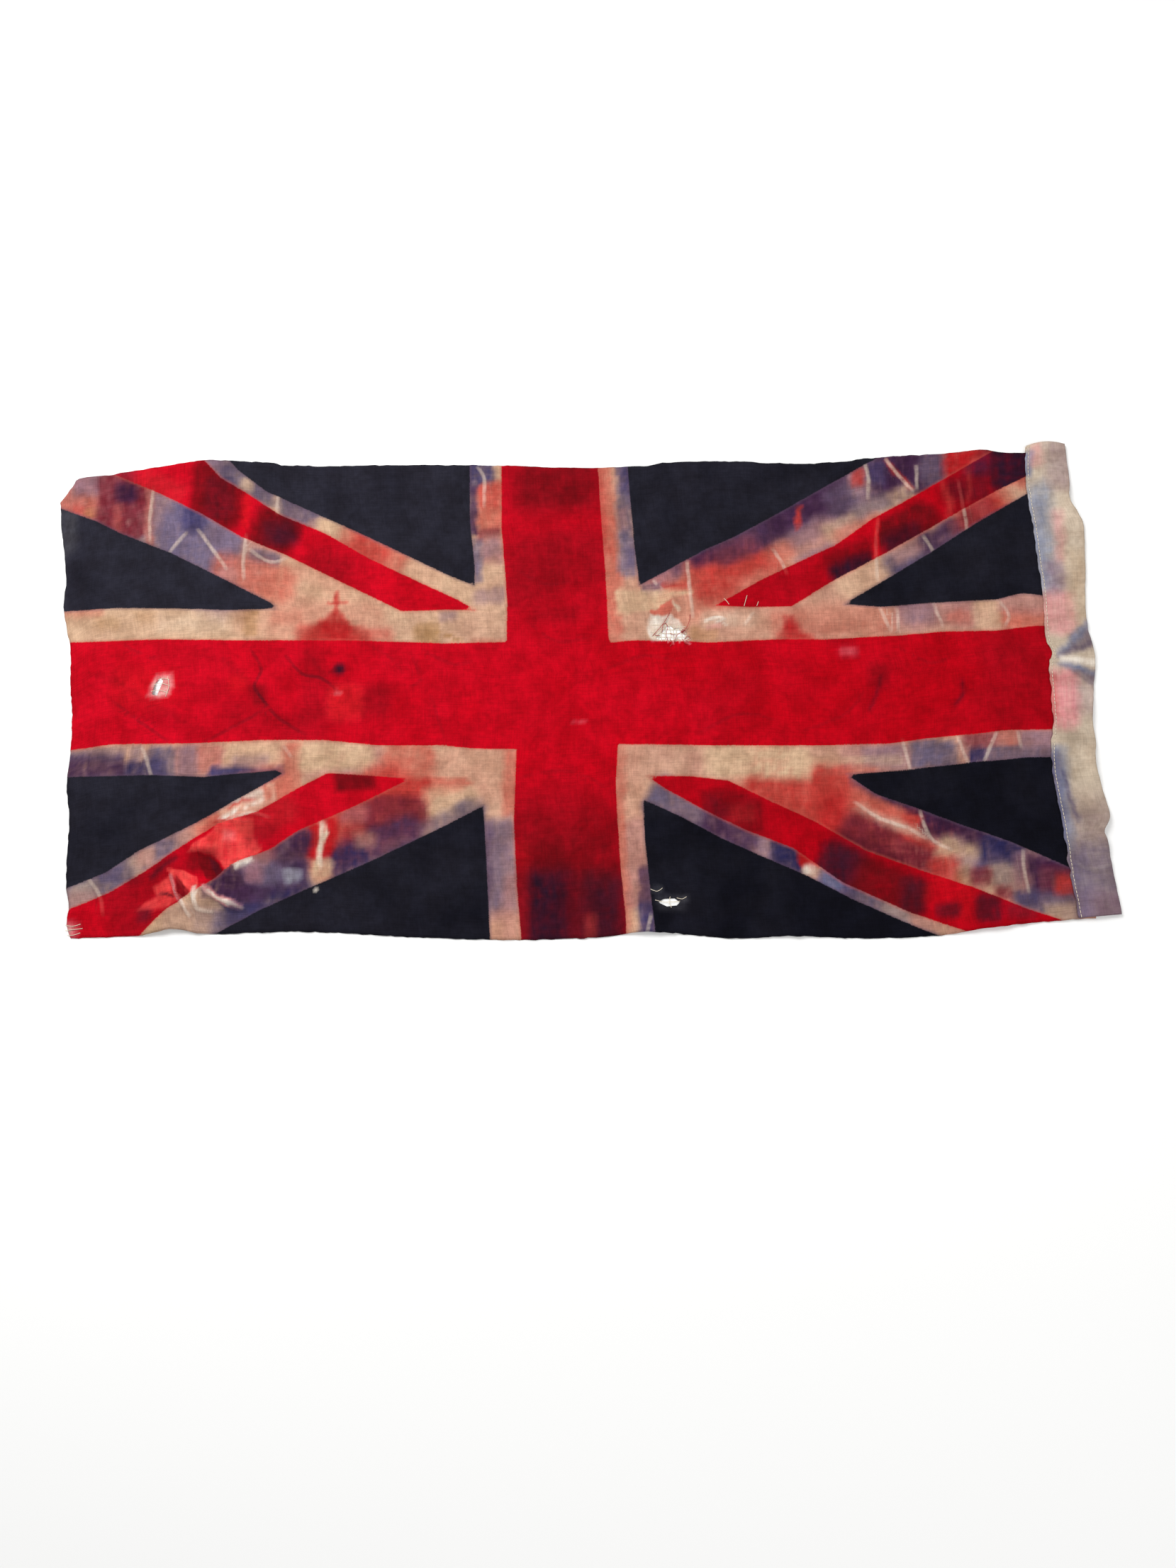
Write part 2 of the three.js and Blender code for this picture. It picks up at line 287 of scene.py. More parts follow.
CREASES = (
    # upper fly quarter
    Crease(((-411, 137), (-412, 165), (-410, 192)), 1.2),
    Crease(((-367, 151), (-352, 132), (-336, 110)), 1.2, 5),
    Crease(((-320, 100), (-321, 122), (-319, 147)), 1.3),
    Crease(((-318, 132), (-296, 118), (-278, 122)), 1.0, 5), Crease(((-393, 126), (-376, 148)), 1.0, 5),
    Crease(((-291, 165), (-290, 185)), 1.0, 5), Crease(((-92, 172), (-92, 200), (-99, 214)), 1.0, 5),
    Crease(((-440, 60), (-400, 55), (-352, 62)), 0.8, 6, 0),
    Crease(((-300, 62), (-262, 50), (-238, 66), (-205, 52)), 0.9, 6, 0),
    Crease(((-231, 66), (-231, 92)), 0.9, 5, 0), Crease(((-190, 60), (-150, 48), (-112, 41)), 0.8, 6, 0),
    Crease(((-180, 74), (-160, 60), (-128, 64)), 0.8, 5, 0),
    # upper hoist quarter
    Crease(((72, 100), (80, 88), (92, 76), (99, 57)), 1.2, 5, 0),
    Crease(((103, 120), (105, 98), (108, 62)), 1.2, 5),
    Crease(((118, 59), (129, 61.5), (140, 60)), 1.3, 5),
    Crease(((156.5, 56), (161, 62), (166, 69)), 1.0, 5),
    Crease(((185, 132), (193, 118), (199, 106)), 1.0, 5),
    Crease(((278, 180), (279, 200), (276, 220)), 1.3), Crease(((296, 222), (308, 205), (323, 188)), 1.2),
    Crease(((326, 190), (326, 216)), 0.9, 5), Crease(((285, 98), (284, 130), (287, 162)), 1.2),
    Crease(((372, 148), (370, 170), (366, 200)), 1.0, 5), Crease(((286, 73), (296, 48)), 1.0, 5),
    Crease(((302, 73), (303, 50)), 1.0, 5), Crease(((337, 77), (345, 54)), 1.1, 5),
    Crease(((330, 145), (339, 128)), 1.0, 5), Crease(((400, 80), (408, 66), (404, 54)), 0.9, 5),
    Crease(((208, 148), (212, 176)), 1.0, 5, 0), Crease(((70.5, 100), (75, 95), (80, 90.5)), 0.8, 4, 0.8),
    # middle stripe
    Crease(((-440, -17), (-408, -40), (-384, -56)), -1.5, 6, -0.5),
    Crease(((-434, 38), (-408, 25), (-396, 24)), -1.2, 6, -0.4),
    Crease(((-312, 34), (-300, 13), (-306, -4), (-295, -19), (-283, -33), (-256, -50)), -1.8, 6, -0.75),
    Crease(((-278, 27), (-262, 9), (-244, 5), (-228, -7)), -1.6, 6, -0.7),
    Crease(((-294, -25), (-324, -42), (-354, -58)), -1.4, 6, -0.45),
    Crease(((-160, 30), (-150, 4), (-162, -6)), -1.0, 6, -0.3),
    Crease(((-152, 34), (-120, 18), (-96, 22)), -1.1, 6, -0.3),
    Crease(((-140, -10), (-132, -34), (-126, -54)), -1.0, 6, -0.25),
    Crease(((-200, 38), (-176, 22), (-166, 8)), -1.0, 6, -0.25),
    Crease(((20, 10), (60, 26), (96, 20)), -1.0, 6, -0.25),
    Crease(((110, -50), (150, -30), (186, -36)), -1.0, 6, -0.25),
    Crease(((210, -46), (250, -30), (268, -8)), -1.0, 6, -0.25),
    Crease(((300, 36), (330, 20), (350, 24)), -1.0, 6, -0.25),
    Crease(((-60, 110), (-30, 96), (-4, 100)), -1.0, 6, -0.25),
    Crease(((-56, -90), (-10, -84), (26, -100)), -1.0, 6, -0.25),
    Crease(((-50, 60), (-20, 40), (18, 46)), -1.0, 6, -0.25),
    Crease(((-150, 30), (-146, -6), (-150, -50)), 0.7, 7, 0),
    Crease(((-40, 60), (-34, 10), (-44, -70)), 0.7, 8, 0),
    Crease(((112, 30), (150, 6), (190, -6)), 0.8, 7, 0),
    Crease(((285, 6), (280, -12), (272, -28)), -1.3, 6, -0.2),
    Crease(((358, 4), (362, -8), (352, -26)), -1.2, 6, -0.2),
    Crease(((236, 34), (252, 30), (264, 18)), 1.0, 5, 0),
    Crease(((0, -34), (-2, -90), (4, -150)), 0.7, 8, 0),
    Crease(((-30, -140), (10, -152), (34, -146)), 0.8, 7, 0),
    Crease(((-50, 176), (-20, 168), (14, 176)), 0.8, 7, 0),
    Crease(((-472, 30), (-430, 22), (-400, 30)), 1.6, 9, 0),
    Crease(((-352, 36), (-330, 8), (-336, -30)), 1.6, 9, 0),
    Crease(((-250, -44), (-214, -20), (-180, 14), (-150, 34)), 1.4, 9, 0),
    Crease(((-110, 34), (-92, 0), (-104, -50)), 1.4, 9, 0),
    Crease(((-66, 180), (-40, 120), (-52, 60)), 1.4, 9, 0),
    Crease(((4, 120), (-14, 84), (12, 40)), 1.2, 8, 0),
    Crease(((40, 20), (84, -10), (96, -50)), 1.3, 9, 0),
    Crease(((190, 40), (214, 4), (206, -50)), 1.4, 9, 0),
    Crease(((306, 40), (322, 4), (318, -44)), 1.4, 9, 0),
    Crease(((384, 44), (404, 6), (398, -40)), 1.4, 9, 0),
    Crease(((-440, -50), (-420, -30), (-380, -36), (-352, -54)), 1.4, 8, 0),
    Crease(((-44, -80), (-20, -110), (-34, -170)), 1.3, 9, 0),
    # lower fly quarter
    Crease(((-409, -60), (-403, -75), (-398, -90)), 1.1, 5),
    Crease(((-302, -56), (-302, -84)), 0.9, 5, 0),
    Crease(((-334, -112), (-306, -106), (-286, -96)), 1.6, 6, 0),
    Crease(((-326, -132), (-304, -124), (-286, -128)), 1.4, 5),
    # The pale lines of the next three creases are painted highlight where the folds of the crumple catch
    # the light.
    Crease(((-374, -178), (-365, -203), (-355, -220)), 1.6, 5, 1.0),
    Crease(((-353, -190), (-349, -207), (-346, -213), (-334, -215)), 1.5, 5, 1.0),
    Crease(((-348, -189), (-334, -200), (-306, -212)), 1.5, 6, 0.5),
    Crease(((-358, -162), (-340, -166), (-330, -184)), -2.6, 7, 0),
    Crease(((-395, -185), (-384, -174), (-370, -164)), -1.5, 6),
    Crease(((-392, -206), (-376, -196), (-352, -200)), 1.4, 5, 0),
    Crease(((-318, -124), (-310, -146), (-304, -166)), 2.0, 8, 0),
    Crease(((-334, -128), (-326, -146), (-330, -166)), 1.6, 7, 0),
    Crease(((-352, -158), (-332, -152), (-306, -150)), 2.4, 9, 0),
    Crease(((-318, -164), (-300, -172), (-282, -170)), 1.2, 5, 0),
    Crease(((-238, -130), (-238, -176)), 1.1, 6), Crease(((-276, -60), (-268, -72)), 0.8, 4),
    Crease(((-138, -64), (-138, -118)), 0.9, 6, 0),
    Crease(((-452, -184), (-440, -200), (-436, -218)), 1.0, 5),
    # lower hoist quarter
    Crease(((255, -113), (280, -129), (305, -138), (322, -148)), 1.3, 5),
    Crease(((316, -120), (320, -136), (328, -150), (346, -158)), 1.2, 5),
    Crease(((411, -158), (410, -178), (414, -198)), 1.1, 5), Crease(((303, -54), (309, -84)), 1.0, 5),
    Crease(((354, -51), (364, -79)), 1.0, 5), Crease(((392, -46), (384, -62), (378, -76)), 1.0, 5),
    Crease(((411, -46), (414, -62)), 0.9, 4), Crease(((170, -104), (170, -146)), 0.9, 6, 0),
    Crease(((344, -204), (372, -210), (388, -200)), 1.2, 6, 0), Crease(((62, -234), (67, -216)), 1.0, 4),
)


def crease_lines(spots: np.ndarray, creases: tuple, reach: float = 4.6) -> np.ndarray:
    """Finds the fine line at the top of the nearest crease, which a coarse mesh alone could not hold.

    Args:
        spots: rows of x and y in millimetres.
        creases: the creases.
        reach: how far from a line its strength stays full.
    Returns:
        Rows of the distance from the line, less than 0 on its one side, and how pale and how dark it is;
        the dark is painted shade.
    """
    best = np.full(len(spots), 1e6)
    rows = np.tile([50.0, 0.0, 0.0], (len(spots), 1))
    for crease in creases:
        line = Route(crease.points, 6).dense()
        away, share = line_distance(spots, line)
        step = np.clip((share * (len(line) - 1)).astype(int), 0, len(line) - 2)
        start, span = line[step], line[step + 1] - line[step]
        aside = spots - start
        side = np.sign(span[:, 0] * aside[:, 1] - span[:, 1] * aside[:, 0])
        taper = np.clip(np.sin(math.pi * share), 0, 1) ** 0.4 * smooth(-away, -reach - 2.5, -reach)
        nearer = (away < best) & (away < reach + 3)
        best = np.where(nearer, away, best)
        held = crease.shade() * taper
        rows[nearer] = np.column_stack([away * side, np.clip(held, 0, 1), np.clip(-held, 0, 1)])[nearer]
    return rows


def cover_height(spots: np.ndarray) -> np.ndarray:
    """Gives the height that swells and creases add to the cloth at each spot."""
    total = np.zeros(len(spots))
    for form in (*SWELLS, *CREASES):
        total += form.height(spots)
    return total


# ---- The print ----------------------------------------------------------------------------------
# Each outline runs past the cloth's own edge where the colour reaches it.
RED_CROSS: Points = (
    (-500, 39), (-479, 39), (-451, 40), (-400, 42), (-313, 41), (-222, 41), (-167, 39.5), (-124, 38),
    (-68.5, 39.5), (-68.4, 76), (-70.5, 105), (-74.4, 150), (-75.3, 214), (-75.3, 240), (18, 240),
    (18, 212), (21.2, 162), (25, 111), (27.3, 64), (28, 43), (30, 39), (52, 41), (75, 40.6), (129, 39),
    (181, 42), (233, 42), (300, 45.6), (347, 49.6), (395, 50.6), (434, 55), (480, 55), (480, -45),
    (442, -45), (405, -45.3), (369, -49), (329, -53), (290, -58.4), (223, -60), (124, -60), (68, -59),
    (36.5, -59), (34.4, -95), (35.4, -119), (38.4, -171), (42.8, -215), (44.7, -260), (-52.4, -260),
    (-52.4, -240), (-57, -191), (-60.3, -131), (-58.5, -63.5), (-98, -63), (-127, -60), (-187, -60),
    (-238, -55), (-297, -55), (-357, -58), (-437, -59), (-473, -65), (-500, -65),
)
RED_ARMS: tuple[Points, ...] = (
    ((-375, 240), (-363, 220), (-346, 202), (-321, 187), (-288, 165), (-244, 146.6), (-202, 122),
     (-162, 102.6), (-115, 80.4), (-98, 70.3), (-125, 70.7), (-169, 69.4), (-190, 80), (-233, 101),
     (-281, 125), (-324, 143), (-363, 166), (-397, 183), (-449, 205.6), (-490, 222)),
    ((129.6, 75), (174, 100.6), (211, 118.5), (246, 135), (282, 161), (323, 184), (347, 198), (395, 226),
     (430, 246), (500, 245), (431, 203), (404, 190), (363, 167), (332, 149), (292, 126), (245, 101),
     (202, 74), (162, 73.3)),
    ((-160, -93), (-210, -118), (-260, -140), (-285, -157), (-316, -169), (-350, -195), (-377, -211),
     (-399, -234), (-430, -270), (-500, -270), (-500, -228), (-467, -213), (-431, -197), (-400, -178),
     (-374, -159), (-335, -134), (-299, -123), (-261, -100), (-234, -86), (-188, -89), (-162, -91)),
    ((63.6, -89), (104, -89), (139, -93), (175, -111), (218, -131), (266, -159), (319, -178), (365, -193),
     (414, -213), (439, -221), (480, -240), (480, -270), (400, -250), (350, -231), (303, -215),
     (243, -188), (198, -156), (156, -140), (119, -122), (79, -100)),
)
NAVY_FIELDS: tuple[Points, ...] = (
    ((-520, 180), (-499, 171), (-465, 159), (-439, 146), (-391, 127), (-333, 98), (-294, 78), (-287, 72),
     (-332, 70.6), (-383, 72), (-442, 72.5), (-490, 69), (-520, 69)),
    ((-356, 240), (-331, 211), (-301, 188), (-257, 168), (-199, 141), (-160, 122), (-124, 104.5),
     (-99.8, 94.6), (-99.7, 113), (-105, 160), (-106, 215), (-106, 240)),
    ((46, 240), (46.7, 212), (49.7, 174), (53.4, 130), (57.6, 95), (83, 109), (120, 130), (150, 143.5),
     (194, 168), (240, 195), (286, 221), (310, 240)),
    ((252, 76.4), (290, 99), (336, 127), (385, 159), (431, 185.5), (480, 210), (480, 84), (440, 84.6),
     (422, 87), (397, 81), (334, 77.4), (289, 73.6)),
    ((-500, -90), (-475, -90), (-403, -88), (-349, -89.6), (-284, -83.5), (-275, -85.5), (-304, -104),
     (-357, -134), (-407, -159), (-436, -179), (-469, -193), (-500, -204)),
    ((-89, -117), (-85.6, -161), (-81, -240), (-81, -260), (-380, -260), (-329, -233), (-292, -213),
     (-248, -193), (-189, -167), (-129, -138)),
    ((60, -111), (61, -147), (65, -187), (70, -235), (70, -260), (380, -260), (330, -236.5), (303, -226),
     (251, -203), (211, -182), (172, -165), (132, -147), (93, -126)),
    ((249.6, -87.6), (307, -83), (367, -76), (417, -71.5), (440, -71), (480, -70), (480, -188),
     (452, -174), (401, -151), (356, -135), (316, -120), (276, -106)),
)


# ---- Dye that ran, wear and stains, with painted light and shade --------------------------------
class Tone(Enum):
    """The colours that run dye, rust, wear and daylight have given the cloth; some also serve as painted
    light and shade.
    """

    CREAM = "DDB896"
    PALE = "ECD6BC"
    # near white: worn places, and painted highlight in places
    GLOW = "FBF0E2"
    TAN = "B5885A"
    PEACH = "DA9A82"
    SALMON = "D4705E"
    CORAL = "C53C36"
    RED = "C01A20"
    ROSE = "BC8480"
    MAUVE = "927484"
    SLATE = "6A5C70"
    LILAC = "746884"
    BLUE = "46406A"
    DEEP_BLUE = "2E2A54"
    PURPLE = "4C3250"
    PLUM = "3E2140"
    MAROON = "7C2834"
    # dark wine: darkened dye, and painted shade in the folds in places
    WINE = "521524"
    BRIGHT = "DE141F"
    # lit red of the crumple's flaps: painted light
    PAINTED_LIT_RED = "FF5450"
    # dark red: darkened dye, and painted shade in places
    OXBLOOD = "720B14"
    INK = "2E1428"
    DOVE = "A9AAB4"
    # pink: run dye, and painted highlight in the crumple
    SKY = "8089A8"
    SHELL = "E9999B"
    GREY = "5C5C62"


@dataclass(frozen=True)
class Blot:
    """A cloudy patch of dye, also used for painted light and shade: the box that it fills, how deep it
    dyed, and how soft its rim is.
    """

    tone: Tone
    x: tuple[float, float]
    y: tuple[float, float]
    depth: float = 0.8
    soft: float = 5.0
    turn: float = 0.0

    def strength(self, spots: np.ndarray) -> np.ndarray:
        """Gives its strength from 0 to 1 at each spot."""
        angle = math.radians(self.turn)
        x, y = (spots - [(self.x[0] + self.x[1]) / 2, (self.y[0] + self.y[1]) / 2]).T
        along, beside = x * math.cos(angle) + y * math.sin(angle), y * math.cos(angle) - x * math.sin(angle)
        half_x, half_y = (self.x[1] - self.x[0]) / 2, (self.y[1] - self.y[0]) / 2
        corner = min(half_x, half_y) * 0.6  # radius of its rounded corners
        over_x = np.clip(np.abs(along) - half_x + corner, 0, None)
        over_y = np.clip(np.abs(beside) - half_y + corner, 0, None)
        past = np.hypot(over_x, over_y) - corner
        return self.depth * smooth(-past, -self.soft, self.soft)


@dataclass(frozen=True)
class Streak:
    """A line of dye, also used for painted light and shade."""

    tone: Tone
    points: Points
    wide: float = 3.0
    depth: float = 0.8
    soft: float = 2.0

    def strength(self, spots: np.ndarray) -> np.ndarray:
        """Gives its strength from 0 to 1 at each spot, weaker at its ends."""
        away, share = line_distance(spots, Route(self.points, 6).dense())
        fade = np.clip(np.sin(math.pi * share), 0, 1) ** 0.3
        return self.depth * fade * smooth(-away, -self.wide / 2 - self.soft, -self.wide / 2 + self.soft)


@dataclass(frozen=True)
class Patch:
    """A patch of dye with a hard outline, also used for painted light and shade."""

    tone: Tone
    points: Points
    depth: float = 0.9
    soft: float = 1.8

    def strength(self, spots: np.ndarray) -> np.ndarray:
        """Gives its strength from 0 to 1 at each spot."""
        return self.depth * smooth(outline_depth(spots, self.points), -self.soft, self.soft)


T = Tone
# On the white, from the widest wash to the smallest mark. Later marks lie over earlier ones.
ON_WHITE = (
    # upper fly quarter: wide band
    Blot(T.MAUVE, (-520, -290), (100, 200), 0.75, 14, -25),
    Blot(T.PEACH, (-330, -190), (40, 122), 0.45, 16), Blot(T.SALMON, (-505, -462), (158, 202), 0.75, 6),
    Blot(T.MAUVE, (-490, -462), (184, 204), 0.75, 5),
    Blot(T.CORAL, (-490, -462), (156, 170), 0.45, 5, -25), Blot(T.TAN, (-476, -466), (161, 171), 0.5, 3),
    Blot(T.MAROON, (-464, -415), (140, 210), 0.88, 4), Blot(T.SALMON, (-448, -440), (138, 176), 0.4, 4),
    Blot(T.PLUM, (-448, -426), (177, 197), 0.85, 5), Blot(T.SALMON, (-417, -408), (132, 200), 0.5, 3),
    Blot(T.MAUVE, (-409, -370), (140, 204), 0.6, 5),
    Blot(T.LILAC, (-402, -322), (112, 182), 0.85, 6, -20),
    Blot(T.BLUE, (-383, -358), (148, 180), 0.85, 7), Blot(T.MAUVE, (-354, -320), (112, 164), 0.45, 5),
    Blot(T.LILAC, (-352, -328), (122, 150), 0.4, 5), Blot(T.PEACH, (-322, -286), (116, 150), 0.6, 6),
    Blot(T.SLATE, (-316, -286), (114, 129), 0.75, 3, -12),
    Blot(T.SALMON, (-352, -268), (84, 120), 0.75, 7, -14), Blot(T.ROSE, (-346, -326), (90, 112), 0.6, 4),
    Blot(T.CREAM, (-268, -180), (70, 104), 0.55, 10, -24),
    Blot(T.PEACH, (-274, -214), (92, 116), 0.5, 7, -24),
    # upper fly quarter: narrow band, then the strip along the cross
    Blot(T.SLATE, (-372, -300), (168, 226), 0.9, 8), Blot(T.MAUVE, (-368, -346), (196, 226), 0.6, 5),
    Blot(T.BLUE, (-346, -332), (196, 214), 0.35, 5), Blot(T.CREAM, (-326, -314), (188, 204), 0.7, 3),
    Blot(T.SLATE, (-316, -292), (170, 200), 0.8, 4), Blot(T.SLATE, (-290, -248), (148, 186), 0.9, 5),
    Blot(T.MAUVE, (-286, -262), (156, 172), 0.4, 5), Blot(T.PEACH, (-262, -244), (144, 160), 0.45, 4),
    Blot(T.CREAM, (-252, -232), (144, 162), 0.8, 4), Blot(T.PEACH, (-238, -130), (84, 152), 0.6, 9, -27),
    Blot(T.SALMON, (-232, -164), (108, 152), 0.75, 7, -27),
    Blot(T.CORAL, (-222, -182), (116, 142), 0.75, 6, -27),
    Blot(T.CREAM, (-170, -96), (78, 110), 0.5, 8, -27), Blot(T.SALMON, (-500, -452), (64, 78), 0.5, 5),
    Blot(T.TAN, (-318, -304), (46, 74), 0.55, 3), Blot(T.TAN, (-334, -316), (58, 72), 0.3, 4),
    Blot(T.TAN, (-460, -438), (50, 64), 0.3, 5), Blot(T.TAN, (-421, -402), (58, 70), 0.3, 5),
    Blot(T.PALE, (-400, -330), (50, 66), 0.35, 8), Blot(T.PEACH, (-296, -186), (38, 80), 0.65, 9),
    Blot(T.SALMON, (-292, -262), (56, 72), 0.3, 5),
    Streak(T.CORAL, ((-231, 66), (-231, 89)), 3.5, 0.9, 2),
    Streak(T.CORAL, ((-240, 78), (-222, 78)), 2.8, 0.75, 2),
    Blot(T.CORAL, (-268, -198), (34, 56), 0.55, 5),
    Patch(T.CORAL, ((-266, 34), (-258, 50), (-243, 60), (-233, 70), (-228, 69), (-220, 60), (-208, 54),
                     (-200, 34)), 0.85, 4),
    Blot(T.RED, (-246, -216), (38, 58), 0.6, 6), Blot(T.CORAL, (-206, -176), (38, 52), 0.45, 5),
    Blot(T.TAN, (-157, -132), (36, 58), 0.65, 4),
    Streak(T.TAN, ((-136, 51), (-124, 45), (-111, 41)), 3, 0.8),
    Blot(T.MAUVE, (-132, -116), (60, 70), 0.5, 3), Blot(T.SALMON, (-104, -72), (36, 42), 0.4, 3),
    # upper fly quarter: upright band
    Blot(T.BLUE, (-110, -82), (188, 226), 0.85, 4), Blot(T.PURPLE, (-108, -97), (146, 196), 0.8, 3),
    Blot(T.SALMON, (-98, -72), (148, 198), 0.9, 4), Blot(T.CORAL, (-98, -74), (170, 196), 0.4, 4),
    Blot(T.MAROON, (-99, -74), (139, 151), 0.65, 3), Blot(T.ROSE, (-94, -70), (116, 142), 0.8, 4),
    Blot(T.MAUVE, (-92, -78), (122, 138), 0.5, 4), Blot(T.LILAC, (-103, -93), (98, 142), 0.75, 3),
    Blot(T.MAUVE, (-84, -70), (76, 94), 0.5, 4), Blot(T.MAUVE, (-100, -84), (76, 92), 0.45, 4),
    # upper hoist quarter: upright band and the torn corner
    Blot(T.PEACH, (26, 60), (40, 120), 0.4, 8),
    Streak(T.SALMON, ((33, 34), (32, 90), (28, 150), (24, 222)), 16, 0.9, 3),
    Streak(T.CORAL, ((25, 120), (22, 150), (19, 222)), 9, 0.6, 3),
    Blot(T.BLUE, (37, 52), (184, 222), 0.85, 4), Blot(T.SLATE, (36, 52), (138, 188), 0.85, 4),
    Blot(T.ROSE, (36, 48), (150, 172), 0.45, 4), Blot(T.LILAC, (38, 56), (104, 142), 0.75, 4),
    Blot(T.BLUE, (44, 54), (112, 134), 0.45, 4), Blot(T.CORAL, (38, 44), (50, 58), 0.4, 3),
    # upper hoist quarter: wide band
    Blot(T.SALMON, (60, 250), (84, 150), 0.85, 12, 24),
    Blot(T.CORAL, (104, 196), (88, 136), 0.75, 10, 18), Blot(T.PEACH, (150, 196), (84, 108), 0.5, 7, 20),
    Blot(T.CREAM, (196, 240), (104, 132), 0.5, 7, 28), Blot(T.CORAL, (124, 176), (110, 136), 0.6, 8, 18),
    Blot(T.MAUVE, (186, 320), (130, 214), 0.85, 10, 27),
    Streak(T.PLUM, ((98, 118), (130, 136), (170, 160), (215, 184), (256, 206)), 13, 0.75, 7),
    Blot(T.PLUM, (104, 130), (114, 136), 0.75, 6, 20),
    Blot(T.PURPLE, (126, 200), (126, 156), 0.75, 7, 24),
    Blot(T.PURPLE, (160, 262), (142, 206), 0.9, 7, 27), Blot(T.PLUM, (176, 250), (156, 198), 0.6, 7, 27),
    Blot(T.PEACH, (186, 252), (128, 152), 0.65, 6, 26), Blot(T.MAUVE, (196, 250), (140, 160), 0.5, 5, 26),
    Blot(T.SALMON, (176, 206), (118, 136), 0.5, 5, 20),
    Streak(T.CORAL, ((209, 150), (213, 176)), 5, 0.9, 2),
    Blot(T.SLATE, (236, 268), (166, 196), 0.5, 6, 27), Blot(T.CORAL, (262, 276), (194, 216), 0.75, 4),
    Blot(T.PURPLE, (280, 356), (178, 232), 0.9, 7, 12), Blot(T.RED, (352, 440), (196, 244), 0.9, 6),
    Blot(T.PLUM, (297, 328), (186, 226), 0.8, 7), Blot(T.SLATE, (330, 352), (196, 228), 0.6, 6),
    Blot(T.MAROON, (390, 440), (200, 244), 0.8, 8), Blot(T.BLUE, (280, 298), (196, 220), 0.5, 5),
    Blot(T.CREAM, (232, 330), (154, 178), 0.6, 5, 27), Blot(T.SALMON, (244, 296), (138, 160), 0.6, 6, 28),
    Blot(T.SLATE, (262, 300), (166, 182), 0.5, 5, 27),
    Streak(T.CORAL, ((296, 222), (308, 206), (322, 190)), 4, 0.85, 2.5),
    Blot(T.SALMON, (68, 104), (94, 124), 0.7, 6), Blot(T.SLATE, (60, 78), (84, 98), 0.7, 4),
    Blot(T.MAUVE, (70, 102), (98, 114), 0.6, 4, 24), Blot(T.PURPLE, (88, 102), (106, 116), 0.5, 4, 24),
    Blot(T.CORAL, (78, 106), (90.5, 98), 0.5, 2.5),
    Patch(T.CREAM, ((34, 92), (65, 90), (80, 90.5), (112, 90.5), (105, 85), (89, 78.5), (66, 69),
                     (34, 66)), 0.85, 2),
    Blot(T.PEACH, (86, 112), (56, 84), 0.75, 4),
    Patch(T.PEACH, ((91, 79), (105, 84), (107, 63), (102, 50), (95, 58), (96, 67), (91, 74)), 0.7, 2),
    Patch(T.SALMON, ((66, 69.5), (77, 74.5), (88, 78), (91, 75), (88, 69.5), (79, 68),
                      (68, 66.5)), 0.9, 1),
    Streak(T.PALE, ((88, 77.5), (93, 73), (97, 67.5)), 2.4, 0.8, 1),
    Patch(T.GLOW, ((68, 43), (66, 52), (68, 66), (88.5, 67), (98, 54), (106, 42), (100, 36),
                    (70, 36)), 0.8, 2),
    # upper hoist quarter: narrow band
    Blot(T.CREAM, (246, 300), (84, 116), 0.5, 8, 28), Blot(T.SLATE, (292, 350), (102, 138), 0.9, 7, 28),
    Blot(T.BLUE, (302, 336), (102, 122), 0.5, 6, 28), Blot(T.PURPLE, (324, 372), (126, 156), 0.85, 6, 28),
    Blot(T.PEACH, (296, 330), (120, 138), 0.4, 5, 28), Blot(T.CORAL, (362, 418), (150, 196), 0.9, 7, 28),
    Blot(T.MAROON, (366, 400), (156, 180), 0.5, 6, 28),
    Blot(T.MAROON, (354, 380), (150, 164), 0.5, 5, 28),
    Blot(T.CREAM, (402, 440), (178, 208), 0.45, 5, 24), Blot(T.SALMON, (420, 440), (192, 206), 0.45, 4),
    # upper hoist quarter: strip along the cross
    Blot(T.TAN, (105, 131), (40, 54), 0.6, 4), Blot(T.PEACH, (108, 186), (42, 76), 0.35, 8),
    # The PALE, GLOW and SHELL marks on these four lines are painted highlight on the puckered folds beside
    # the tear.
    Blot(T.PALE, (116, 152), (54, 70), 0.4, 5),
    Streak(T.GLOW, ((120, 60), (128, 61.5), (138, 60)), 2.2, 0.95, 1),
    Streak(T.GLOW, ((127, 57.5), (134, 57), (141, 54.5)), 1.6, 0.8, 1),
    Blot(T.SHELL, (122, 134), (52, 56), 0.4, 2), Blot(T.PALE, (152, 170), (54, 70), 0.25, 4),
    Blot(T.SALMON, (182, 300), (44, 74), 0.5, 8, 2), Blot(T.PEACH, (214, 300), (60, 82), 0.4, 6),
    Patch(T.RED, ((193, 36), (194, 52), (197, 65), (202, 63), (207, 56), (215, 47), (224, 36)), 0.75, 4),
    Blot(T.CORAL, (188, 224), (36, 48), 0.5, 5), Blot(T.ROSE, (298, 345), (50, 80), 0.75, 5),
    Blot(T.MAUVE, (306, 338), (58, 78), 0.6, 5), Blot(T.ROSE, (344, 380), (54, 82), 0.8, 5),
    Blot(T.SALMON, (348, 374), (56, 70), 0.5, 4), Blot(T.CREAM, (374, 404), (52, 84), 0.6, 4),
    Blot(T.SALMON, (400, 446), (52, 72), 0.8, 4), Blot(T.ROSE, (400, 446), (66, 88), 0.6, 4),
    # lower fly quarter: strip along the cross
    Blot(T.PEACH, (-490, -180), (-92, -52), 0.45, 6), Blot(T.PURPLE, (-490, -424), (-96, -68), 0.9, 4),
    Blot(T.SLATE, (-486, -424), (-74, -62), 0.5, 4), Blot(T.DEEP_BLUE, (-424, -402), (-96, -74), 0.85, 4),
